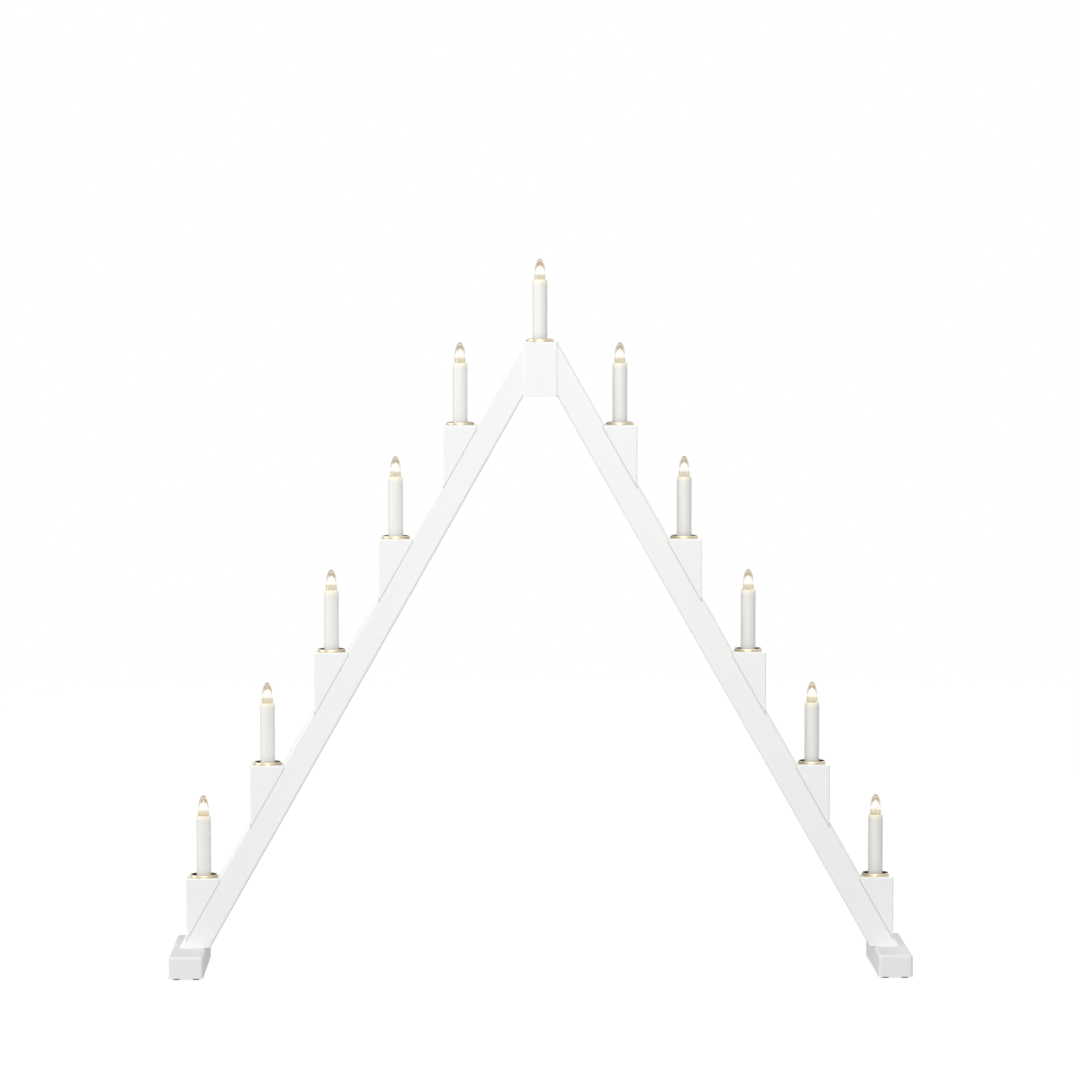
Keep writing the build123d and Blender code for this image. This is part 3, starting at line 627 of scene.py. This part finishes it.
def turned_mesh(name, outline, segments):
    """A closed outline of (radius, height) turned about Z, with both stored on its points."""
    area = sum(a[0] * b[1] - b[0] * a[1] for a, b in zip(outline, outline[1:] + outline[:1]))
    outline = outline if area > 0 else outline[::-1]
    points, rings = [], []
    for radius, height in outline:
        if radius < ON_AXIS:
            rings.append([len(points)] * segments)
            points.append((0.0, 0.0, height))
            continue
        rings.append(list(range(len(points), len(points) + segments)))
        turns = [FULL_TURN * k / segments for k in range(segments)]
        points += [(radius * math.cos(t), radius * math.sin(t), height) for t in turns]
    faces, spots = [], []
    heights = [height for _, height in outline]
    pairs = zip(rings, rings[1:] + rings[:1], heights, heights[1:] + heights[:1])
    for lower, upper, z0, z1 in pairs:
        if lower[0] == lower[-1] and upper[0] == upper[-1]:
            continue
        for k in range(segments):
            after = (k + 1) % segments
            corners = [(lower[k], k, z0), (lower[after], k + 1, z0)]
            corners += [(upper[after], k + 1, z1), (upper[k], k, z1)]
            kept = [
                corner for n, corner in enumerate(corners)
                if all(corner[0] != earlier[0] for earlier in corners[:n])
            ]
            faces.append([point for point, _, _ in kept])
            spots += [(turn / segments, z * UV_RISE + UV_START) for _, turn, z in kept]
    mesh = bpy.data.meshes.new(name)
    mesh.from_pydata(points, [], faces)
    uvs = np.array(spots, np.float32).ravel()
    mesh.uv_layers.new(name="UVMap").data.foreach_set("uv", uvs)
    x, y, z = np.array(points).T
    for attribute, values in (("radius", np.hypot(x, y)), ("height", z)):
        stored = mesh.attributes.new(attribute, "FLOAT", "POINT")
        stored.data.foreach_set("value", values.astype(np.float32))
    mesh.shade_smooth()
    mesh.set_sharp_from_angle(angle=SHARP_ANGLE)
    mesh.validate()
    return mesh


def path_curve(name, *paths):
    """Smooth open curves. Each follows its points, with so many steps between two of them."""
    curve = bpy.data.curves.new(name, "CURVE")
    curve.dimensions = "3D"
    for points, steps in paths:
        spline = curve.splines.new("NURBS")
        spline.points.add(len(points) - 1)
        for point, place in zip(spline.points, points):
            point.co = (*place, 1.0)
        spline.order_u = 3
        spline.use_endpoint_u = True
        spline.resolution_u = steps
    return curve


def collar_outline(sizes):
    """The pressed collar's section: a flange, a raised bead and a cup with a holed floor."""
    wide, mouth, sheet = sizes.collar_radius, sizes.mouth_radius, sizes.sheet
    half, depth, high = sizes.bead_width / 2, sizes.cup_depth, sizes.bead_height
    middle, spring, outer = mouth + half, high - half, mouth + 2 * half
    corner, edge = 0.0009, sheet / 2
    bend = (mouth - corner, sheet - depth + corner)
    flange = arc((wide - edge, edge), edge, -90, 90, 7)
    sweep = arc((outer + edge, sheet + edge), edge, 270, 180, 5)
    crown = arc((middle, spring), half, 0, 180, 15)
    cup = arc(bend, corner, 0, -90, 5)
    floor = [(sizes.hole_radius, sheet - depth), (sizes.hole_radius, -depth)]
    under = arc(bend, corner + sheet, -90, 0, 5)
    hollow = arc((middle, spring), half - sheet, 180, 0, 9)
    return flange + sweep + crown + cup + floor + under + hollow + [(outer - sheet, 0.0)]


def sleeve_outline(sizes):
    """The sleeve's section: a tube with both top edges rounded."""
    outer, inner = sizes.sleeve_radius, sizes.sleeve_radius - sizes.sleeve_wall
    top, bottom, soft = sizes.sleeve_top, sizes.sheet - sizes.cup_depth, sizes.sleeve_rounding
    rings = [bottom + (top - soft - bottom) * share for share in np.linspace(0, 1, 25)]
    crown = arc((outer - soft, top - soft), soft, 15, 90, 6)
    crown += arc((inner + soft, top - soft), soft, 90, 165, 6)
    return [(outer, z) for z in rings] + crown + [(inner, z) for z in rings[::-1]]


def flame_points(radius, point, base, top):
    """A flame's side from its full width to its point, with a rounded tip."""
    rise = top - base - point
    bow = (radius ** 2 + rise ** 2 - point ** 2) / (2 * (radius - point))
    lean = math.degrees(math.atan2(rise, -(radius - bow)))
    side = arc((radius - bow, base), bow, 0, lean, 18)
    tip = arc((0.0, base + rise), point, lean, 90, 9)
    return side + tip[1:-1] + [(0.0, top)]


def glass_side(sizes, neck, full, point, top):
    """One side of the bulb's glass, from its neck over the shoulder to the point."""
    base, cap, shoulder = sizes.flame_base, sizes.cap_top, sizes.shoulder_top
    side = [(neck, sizes.neck_bottom)]
    for share in np.linspace(0, 1, 9):
        ease = 3 * share ** 2 - 2 * share ** 3
        side.append((neck + (full - neck) * ease, cap + (shoulder - cap) * share))
    side += [(full, shoulder + (base - shoulder) * share) for share in np.linspace(0.1, 0.9, 8)]
    return side + flame_points(full, point, base, top)


def glass_outline(sizes):
    """The bulb's glass: an even wall from the neck up, and solid glass in its point."""
    neck, full, point = sizes.neck_radius, sizes.glass_radius, sizes.point_radius
    wall, top = sizes.glass_wall, sizes.glass_top
    outside = glass_side(sizes, neck, full, point, top)
    inside = glass_side(sizes, neck - wall, full - wall, point * 0.5, top - sizes.point_glass)
    return outside + inside[::-1]


def cap_outline(sizes):
    """The screw cap's section: an insulating cone, the barrel and a rim that curls out."""
    low, high, barrel = sizes.cap_bottom, sizes.cap_top, sizes.cap_radius - sizes.thread_depth
    base, wall, curl, flare, bevel = 0.0026, 0.0002, 0.0003, 0.0001, 0.0003
    cone_top, barrel_start, floor = low + 0.0014, low + 0.0019, low + 0.0022
    cone = [(0.0, low), (base, low), (base + bevel, low + 0.0002), (barrel - bevel, cone_top)]
    side = [(barrel, barrel_start), (barrel, high - 3 * curl), (barrel + flare, high - 2 * curl)]
    rim = arc((barrel + flare, high - curl), curl, -90, 90, 7)
    return cone + side + rim + [(barrel - wall, high), (barrel - wall, floor), (0.0, floor)]


def stem_outline(sizes):
    """The glass stem: a flared foot, a waist and a pinched top."""
    gap, lift, radius, top = 0.0001, 0.0003, sizes.stem_radius, sizes.stem_top
    low, flare = sizes.neck_bottom + lift, sizes.neck_radius - sizes.glass_wall - gap
    foot = [(0.0, low), (flare, low), (flare, low + lift), (radius * 1.5, low + 0.0010)]
    waist = [(radius, low + 0.0024), (radius * 0.82, (low + top) / 2), (radius * 0.9, top - 0.0016)]
    pinch = arc((0.0, top - radius * 0.9), (radius * 0.95, radius * 0.9), 10, 90, 7)
    return foot + waist + pinch[:-1] + [(0.0, top)]


# Trees that repeat a piece or follow a path

# Steps in a turn, corners round a wire, and the ridge's radius as a share of the thread's depth
THREAD_STEPS, THREAD_CORNERS, RIDGE_SHARE = 36, 10, 1.15
COIL_STEPS, COIL_CORNERS = 10.0, 5
LEAD_CORNERS = 10


def new_shape_tree(name, **inputs):
    """A Geometry Nodes tree with named inputs and a finish, and the wires of its inputs."""
    group = bpy.data.node_groups.new(name, "GeometryNodeTree")
    for label, kind in {"Geometry": "Geometry", **inputs, "Finish": "Material"}.items():
        label = label.replace("_", " ")
        group.interface.new_socket(label, in_out="INPUT", socket_type="NodeSocket" + kind)
    group.interface.new_socket("Geometry", in_out="OUTPUT", socket_type="NodeSocketGeometry")
    tree = Tree(group)
    return tree, tree.node("NodeGroupInput")


def end_shape_tree(tree, shape, given):
    """End a tree in Realize Instances and Set Material."""
    solid = tree.node("GeometryNodeRealizeInstances", {0: shape})[0]
    finish = {"Geometry": solid, "Material": given["Finish"]}
    painted = tree.node("GeometryNodeSetMaterial", finish)[0]
    tree.node("NodeGroupOutput", {0: painted})
    return tree.tree


def moved(tree, shape, place):
    """A shape moved to a place."""
    return tree.node("GeometryNodeTransform", {"Geometry": shape, "Translation": place})[0]


def round_wire(tree, path, radius, corners):
    """A smooth round wire along a path."""
    values = {"Resolution": corners, "Radius": radius}
    section = tree.node("GeometryNodeCurvePrimitiveCircle", values, mode="RADIUS")[0]
    tube = tree.node("GeometryNodeCurveToMesh", {
        "Curve": path, "Profile Curve": section, "Fill Caps": True,
    })[0]
    return tree.node("GeometryNodeSetShadeSmooth", {"Geometry": tube})[0]


def candle_row_tree():
    """Stands a copy of one piece at every point, each turned at random by a fixed seed."""
    tree, given = new_shape_tree("Candle row", Piece="Object", Turn_Seed="Int")
    piece = tree.node("GeometryNodeObjectInfo", {"Object": given["Piece"]})["Geometry"]
    values = {2: 0.0, 3: FULL_TURN, "Seed": given["Turn Seed"]}
    turn = tree.node("FunctionNodeRandomValue", values, data_type="FLOAT")[1]
    rotation = tree.node("ShaderNodeCombineXYZ", {2: turn})[0]
    copies = tree.node("GeometryNodeInstanceOnPoints", {
        "Points": given["Geometry"], "Instance": piece, "Rotation": rotation,
    })[0]
    return end_shape_tree(tree, copies, given)


def screw_thread_tree():
    """Adds a rolled thread of a given pitch round a turned cap, and moves both to their foot."""
    tree, given = new_shape_tree(
        "Screw thread", Crest_Radius="Float", Depth="Float", Pitch="Float", Turns="Float",
        Start="Float", Foot="Vector",
    )
    ridge = given["Depth"] * RIDGE_SHARE
    middle = given["Crest Radius"] - ridge
    spiral = tree.node("GeometryNodeCurveSpiral", {
        "Resolution": THREAD_STEPS, "Rotations": given["Turns"], "Start Radius": middle,
        "End Radius": middle, "Height": given["Turns"] * given["Pitch"], "Reverse": True,
    })[0]
    thread = round_wire(tree, spiral, ridge, THREAD_CORNERS)
    start = tree.node("ShaderNodeCombineXYZ", {2: given["Start"]})[0]
    raised = moved(tree, thread, start)
    both = tree.node("GeometryNodeJoinGeometry", {0: [given["Geometry"], raised]})[0]
    return end_shape_tree(tree, moved(tree, both, given["Foot"]), given)


def coiled_wire_tree():
    """Winds a fine wire in a coil along a path."""
    tree, given = new_shape_tree(
        "Coiled wire", Turns="Int", Coil_Radius="Float", Wire_Radius="Float", Foot="Vector",
    )
    line = tree.node("GeometryNodeCurvePrimitiveLine")[0]
    dense = tree.node("GeometryNodeResampleCurve", {
        "Curve": line, "Count": given["Turns"] * COIL_STEPS,
    })[0]
    along = tree.node("GeometryNodeSplineParameter")["Factor"]
    values = {"Curves": given["Geometry"], "Factor": along}
    path = tree.node("GeometryNodeSampleCurve", values, mode="FACTOR", use_all_curves=True)
    sideways = tree.vectors("CROSS_PRODUCT", path["Tangent"], path["Normal"])
    angle = along * given["Turns"] * FULL_TURN
    first = tree.scaled(path["Normal"], angle.maths("COSINE") * given["Coil Radius"])
    second = tree.scaled(sideways, angle.maths("SINE") * given["Coil Radius"])
    middle = tree.vectors("ADD", path["Position"], given["Foot"])
    wound = tree.vectors("ADD", middle, tree.vectors("ADD", first, second))
    coil = tree.node("GeometryNodeSetPosition", {"Geometry": dense, "Position": wound})[0]
    return end_shape_tree(tree, round_wire(tree, coil, given["Wire Radius"], COIL_CORNERS), given)


def straight_wire_tree():
    """Draws a wire of a given radius along every path."""
    tree, given = new_shape_tree("Lead wires", Wire_Radius="Float", Foot="Vector")
    wire = round_wire(tree, given["Geometry"], given["Wire Radius"], LEAD_CORNERS)
    return end_shape_tree(tree, moved(tree, wire, given["Foot"]), given)


def standing_tree():
    """Stands one piece at its foot."""
    tree, given = new_shape_tree("Standing piece", Foot="Vector")
    return end_shape_tree(tree, moved(tree, given["Geometry"], given["Foot"]), given)


def added(name, data):
    """A new object in the scene for a mesh, a curve, a lamp or a camera."""
    made = bpy.data.objects.new(name, data)
    bpy.context.scene.collection.objects.link(made)
    return made


def grown(name, data, tree, values):
    """A plain mesh object of what a tree makes of a mesh or curve."""
    holder = added(name + ".base", data)
    modifier = holder.modifiers.new("Shape", "NODES")
    modifier.node_group = tree
    for item in tree.interface.items_tree:
        if item.item_type == "SOCKET" and item.in_out == "INPUT" and item.name in values:
            modifier[item.identifier] = values[item.name]
    bpy.context.view_layer.update()
    graph = bpy.context.evaluated_depsgraph_get()
    mesh = bpy.data.meshes.new_from_object(
        holder.evaluated_get(graph), preserve_all_data_layers=True, depsgraph=graph,
    )
    bpy.data.objects.remove(holder)
    if not mesh.polygons:
        raise RuntimeError(f"{name} came out empty")
    mesh.name = name
    return added(name, mesh)


def settle(piece, body, slot, *nodes):
    """Let a piece ride on a body and stand for CAD nodes; the slot is not used."""
    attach(piece, body)
    if nodes:
        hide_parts(*nodes)


def settle_bulbs(name, data, tree, values, slot, node=None):
    """Grow a piece at the foot of every candle and settle it on its bulb."""
    for number, foot in candle_feet().items():
        piece = grown(f"{name}_{number}", data, tree, {**values, "Foot": foot})
        settle(piece, f"bulb_{number}", slot, *([f"{node}_{number}"] if node else []))


def settle_row(name, outline, finish, slot, node):
    """Turn a piece, stand it at the foot of every candle and settle the row."""
    sizes, colours = bpy.context.scene.arch_candles, bpy.context.scene.arch_colours
    mesh = turned_mesh(name + ".turned", outline(sizes), sizes.segments)
    pattern = added(name + ".pattern", mesh)
    feet = bpy.data.meshes.new(name + ".feet")
    feet.from_pydata(list(candle_feet().values()), [], [])
    values = {"Piece": pattern, "Turn Seed": sizes.turn_seed, "Finish": finish(colours, sizes)}
    piece = grown(name, feet, candle_row_tree(), values)
    bpy.data.objects.remove(pattern)
    settle(piece, "root", slot, node)


# Operators

class OBJECT_OT_arch_stage(Operator):
    """Make the floor, the light and the camera"""

    bl_idname = "candle_arch.stage"
    bl_label = "Studio"

    def execute(self, context):
        studio = context.scene.arch_studio
        make_floor(studio)
        make_light(studio)
        make_camera(studio)
        return {"FINISHED"}


class OBJECT_OT_arch_woodwork(Operator):
    """Lacquer the beams, the blocks, the feet and the covers along their grain"""

    bl_idname = "candle_arch.woodwork"
    bl_label = "Woodwork"

    def execute(self, context):
        colours = context.scene.arch_colours
        low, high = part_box("left_beam")
        slope = math.atan2(high.z - low.z, high.x - low.x)
        upright = (0.0, math.pi / 2, 0.0)
        lengthwise = (0.0, 0.0, -math.pi / 2)
        apex = satin_lacquer("Lacquer.apex", colours, upright)
        paint_nodes(apex, "apex_block", "groove_covers")
        for side, corner, lean in (("left", 0, slope), ("right", 1, -slope)):
            beam = satin_lacquer(f"Lacquer.{side}_beam", colours, (0.0, lean, 0.0))
            paint_nodes(beam, f"{side}_beam")
            start = f"{side}_step_block"
            blocks = sorted(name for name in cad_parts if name.startswith(start))
            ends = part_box(blocks[0]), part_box(blocks[-1])
            joint = [(box[corner].x, box[0].z) for box in ends]
            lacquer = satin_lacquer(f"Lacquer.{side}_blocks", colours, upright, joint)
            paint_nodes(lacquer, *blocks)
        # The feet take the darker tones, mostly the darker one at thinness 2.4, as painted shade.
        feet = satin_lacquer(
            "Lacquer.feet", colours, lengthwise, tones=(colours.foot, colours.foot_shade),
            gloss=0.2, dullness=0.5, varnish=0.0, thinness=2.4,
        )
        paint_nodes(feet, "left_foot", "right_foot")
        return {"FINISHED"}


class OBJECT_OT_arch_fixings(Operator):
    """Finish the pads, the screws, the dowels and the grommet"""

    bl_idname = "candle_arch.fixings"
    bl_label = "Fixings"

    def execute(self, context):
        colours = context.scene.arch_colours
        pads = moulded("Rubber.pads", colours.rubber, 0.62, grain=2400.0, depth=0.00006)
        paint_nodes(pads, "foot_pads")
        screws = worn_metal("Steel.screws", colours.steel, colours.steel_worn, 0.30)
        paint_nodes(screws, "foot_screws")
        paint_nodes(bare_beech(colours), "apex_dowels")
        grommet = moulded("Rubber.grommet", colours.pale_rubber, 0.55, grain=1800.0)
        paint_nodes(grommet, "cord_grommet")
        return {"FINISHED"}


class OBJECT_OT_arch_wiring(Operator):
    """Finish the wires, the sockets, their contacts and the sleeves' plugs"""

    bl_idname = "candle_arch.wiring"
    bl_label = "Wiring"

    def execute(self, context):
        colours = context.scene.arch_colours
        wires = moulded("Insulation.wires", colours.wire, 0.42, grain=900.0, depth=0.00002)
        paint_nodes(wires, "wiring")
        paint_nodes(moulded("Moulding.sockets", colours.moulding, 0.50), "socket_bodies")
        plugs = moulded("Moulding.plugs", colours.moulding, 0.45, grain=1100.0)
        paint_nodes(plugs, "sleeve_plugs")
        brass = worn_metal("Brass.sockets", colours.socket_brass, colours.socket_worn, 0.28)
        paint_nodes(brass, "socket_shells", "socket_contacts")
        return {"FINISHED"}


class OBJECT_OT_arch_collars(Operator):
    """Stand a pressed brass collar on every block"""

    bl_idname = "candle_arch.collars"
    bl_label = "Collars"

    def execute(self, context):
        outline, finish = collar_outline, collar_brass
        settle_row("pressed_collars", outline, finish, "collar_brass", "brass_collars")
        return {"FINISHED"}


class OBJECT_OT_arch_sleeves(Operator):
    """Stand a candle sleeve in every collar"""

    bl_idname = "candle_arch.sleeves"
    bl_label = "Sleeves"

    def execute(self, context):
        outline, finish = sleeve_outline, ivory_plastic
        settle_row("ivory_sleeves", outline, finish, "candle_plastic", "candle_sleeves")
        return {"FINISHED"}


class OBJECT_OT_arch_bulb_glasses(Operator):
    """Blow a flame-tip glass for every bulb"""

    bl_idname = "candle_arch.bulb_glasses"
    bl_label = "Bulb glasses"

    def execute(self, context):
        sizes = context.scene.arch_bulbs
        mesh = turned_mesh("Flame", glass_outline(sizes), sizes.segments)
        values = {"Finish": bulb_glass(context.scene.arch_colours, sizes)}
        settle_bulbs("flame_glass", mesh, standing_tree(), values, "bulb_glass", "bulb_glass")
        return {"FINISHED"}


class OBJECT_OT_arch_bulb_caps(Operator):
    """Make a threaded cap for every bulb, and finish the solder tips"""

    bl_idname = "candle_arch.bulb_caps"
    bl_label = "Bulb caps"

    def execute(self, context):
        sizes, colours = context.scene.arch_bulbs, context.scene.arch_colours
        mesh = turned_mesh("Cap", cap_outline(sizes), sizes.segments)
        nickel = worn_metal("Nickel.caps", colours.nickel, colours.nickel_worn, 0.22)
        solder = worn_metal("Solder.tips", colours.solder, colours.solder_worn, 0.42, 1400.0)
        values = {
            "Crest Radius": sizes.cap_radius, "Depth": sizes.thread_depth,
            "Pitch": sizes.thread_pitch, "Turns": sizes.thread_turns,
            "Start": sizes.cap_bottom + sizes.thread_start, "Finish": nickel,
        }
        settle_bulbs("screw_cap", mesh, screw_thread_tree(), values, "bulb_cap_metal", "bulb_cap")
        paint_nodes(solder, *[f"bulb_tip_{number}" for number in candle_feet()])
        return {"FINISHED"}


class OBJECT_OT_arch_filaments(Operator):
    """Mount a stem, two lead wires and a coiled filament in every bulb"""

    bl_idname = "candle_arch.filaments"
    bl_label = "Filaments"

    def execute(self, context):
        sizes, colours = context.scene.arch_bulbs, context.scene.arch_colours
        half, top, sunk, bend = sizes.lead_spread / 2, sizes.lead_top, 0.0009, 0.004
        low, shoulder, crown = sizes.stem_top - sunk, top + 0.0013, top + 0.0024
        lead = [(-half * 0.5, 0.0, low), (-half * 0.7, 0.0, low + bend), (-half, 0.0, top)]
        twin = [(-x, y, z) for x, y, z in lead]
        arch = [(-half, 0.0, top), (-half * 0.9, 0.0, shoulder), (0.0, 0.0, crown)]
        arch += [(half * 0.9, 0.0, shoulder), (half, 0.0, top)]
        nickel = worn_metal("Nickel.leads", colours.nickel, colours.lead_worn, 0.30, 2200.0)
        stem_mesh = turned_mesh("Stem", stem_outline(sizes), sizes.segments // 2)
        stem = {"Finish": stem_glass(colours)}
        settle_bulbs("filament_stem", stem_mesh, standing_tree(), stem, "bulb_glass")
        paths = path_curve("Leads", (lead, 8), (twin, 12))
        leads = {"Wire Radius": sizes.lead_radius, "Finish": nickel}
        settle_bulbs("lead_wires", paths, straight_wire_tree(), leads, "bulb_cap_metal")
        path = path_curve("Arch", (arch, 8))
        coil = {
            "Turns": sizes.coil_turns, "Coil Radius": sizes.coil_radius,
            "Wire Radius": sizes.coil_wire, "Finish": glowing_filament(colours),
        }
        settle_bulbs("filament_coil", path, coiled_wire_tree(), coil, "bulb_cap_metal")
        return {"FINISHED"}


# Studio

def seen_by_camera(tree):
    """1 for what the camera sees, also mirrored or through glass, and 0 for what only lights."""
    path = tree.node("ShaderNodeLightPath")
    seen = path["Is Camera Ray"].maths("MAXIMUM", path["Is Glossy Ray"])
    return seen.maths("MAXIMUM", path["Is Transmission Ray"])


def make_floor(studio):
    """A wide pale floor whose white is the picture's, with the arch's shadow on it."""
    reach = 40.0
    corners = [(-reach, -reach, 0), (reach, -reach, 0), (reach, reach, 0), (-reach, reach, 0)]
    mesh = bpy.data.meshes.new("Floor")
    mesh.from_pydata(corners, [], [(0, 1, 2, 3)])
    floor = added("Floor", mesh)
    tree = Finish("Studio.floor")
    shown, lighting = [
        tree.node("ShaderNodeBsdfDiffuse", {"Color": rgba([grey] * 3)})[0]
        for grey in (studio.floor_shade, studio.floor_bounce)
    ]
    white, plain = [
        tree.node("ShaderNodeEmission", {"Color": rgba(WHITE), "Strength": strength})[0]
        for strength in (studio.floor_glow, 1.0)
    ]
    near = tree.node("ShaderNodeAddShader", {0: shown, 1: white})[0]
    distance = tree.node("ShaderNodeVectorMath", {0: tree.place()}, operation="LENGTH")["Value"]
    both = tree.either(tree.step(distance, studio.floor_near, studio.floor_far), near, plain)
    mesh.materials.append(tree.ended(tree.either(seen_by_camera(tree), lighting, both)))


def make_light(studio):
    """Even light from all round, white where it is seen, and three soft lamps."""
    world = bpy.data.worlds.new("Studio")
    bpy.context.scene.world = world
    world.use_nodes = True
    world.node_tree.nodes.clear()
    tree = Tree(world.node_tree)
    strength = seen_by_camera(tree) * (1.0 - studio.ambient) + studio.ambient
    values = {"Color": rgba(WHITE), "Strength": strength}
    sky = tree.node("ShaderNodeBackground", values)[0]
    tree.node("ShaderNodeOutputWorld", {"Surface": sky})
    for label in ("key", "fill", "back"):
        lamp = bpy.data.lights.new(label, "AREA")
        lamp.energy = getattr(studio, label)
        lamp.size = studio.lamp_size
        stand = added(label, lamp)
        stand.location = getattr(studio, label + "_place")
        stand.visible_camera = False
        stand.visible_transmission = False
        away = stand.location - Vector(studio.aim)
        stand.rotation_euler = away.to_track_quat("Z", "Y").to_euler()


def make_camera(studio):
    """A long lens in front of the arch, a little above it and to its left."""
    flat, up = math.cos(studio.pitch), math.sin(studio.pitch)
    back = Vector((-math.sin(studio.bearing) * flat, -math.cos(studio.bearing) * flat, up))
    data = bpy.data.cameras.new("Camera")
    data.lens = studio.lens
    data.sensor_width = 36.0
    data.clip_end = 200.0
    camera = added("Camera", data)
    camera.location = Vector(studio.aim) + back * studio.distance
    camera.rotation_euler = back.to_track_quat("Z", "Y").to_euler()
    bpy.context.scene.camera = camera
    bpy.context.scene.view_settings.view_transform = "Standard"


# Panel, registration and the run

class VIEW3D_PT_candle_arch(Panel):
    """The arch's pieces in the sidebar"""

    bl_label = "Candle arch"
    bl_idname = "VIEW3D_PT_candle_arch"
    bl_space_type = "VIEW_3D"
    bl_region_type = "UI"
    bl_category = "Candle arch"

    def draw(self, context):
        for operator in OPERATORS:
            self.layout.operator(operator.bl_idname)


OPERATORS = (
    OBJECT_OT_arch_stage,
    OBJECT_OT_arch_woodwork,
    OBJECT_OT_arch_fixings,
    OBJECT_OT_arch_wiring,
    OBJECT_OT_arch_collars,
    OBJECT_OT_arch_sleeves,
    OBJECT_OT_arch_bulb_glasses,
    OBJECT_OT_arch_bulb_caps,
    OBJECT_OT_arch_filaments,
)
GROUPS = {
    "arch_candles": CandleSizes,
    "arch_bulbs": BulbSizes,
    "arch_colours": Colours,
    "arch_studio": StudioSizes,
}
CLASSES = (*GROUPS.values(), *OPERATORS, VIEW3D_PT_candle_arch)


def register():
    """Register the classes and hang the sizes on the scene."""
    for each in CLASSES:
        bpy.utils.register_class(each)
    for name, group in GROUPS.items():
        setattr(bpy.types.Scene, name, PointerProperty(type=group))


def unregister():
    """Undo what register does."""
    for name in GROUPS:
        delattr(bpy.types.Scene, name)
    for each in reversed(CLASSES):
        bpy.utils.unregister_class(each)


def main():
    """Make everything in order."""
    register()
    for operator in OPERATORS:
        module, name = operator.bl_idname.split(".")
        getattr(getattr(bpy.ops, module), name)()


if __name__ == "__main__":
    main()
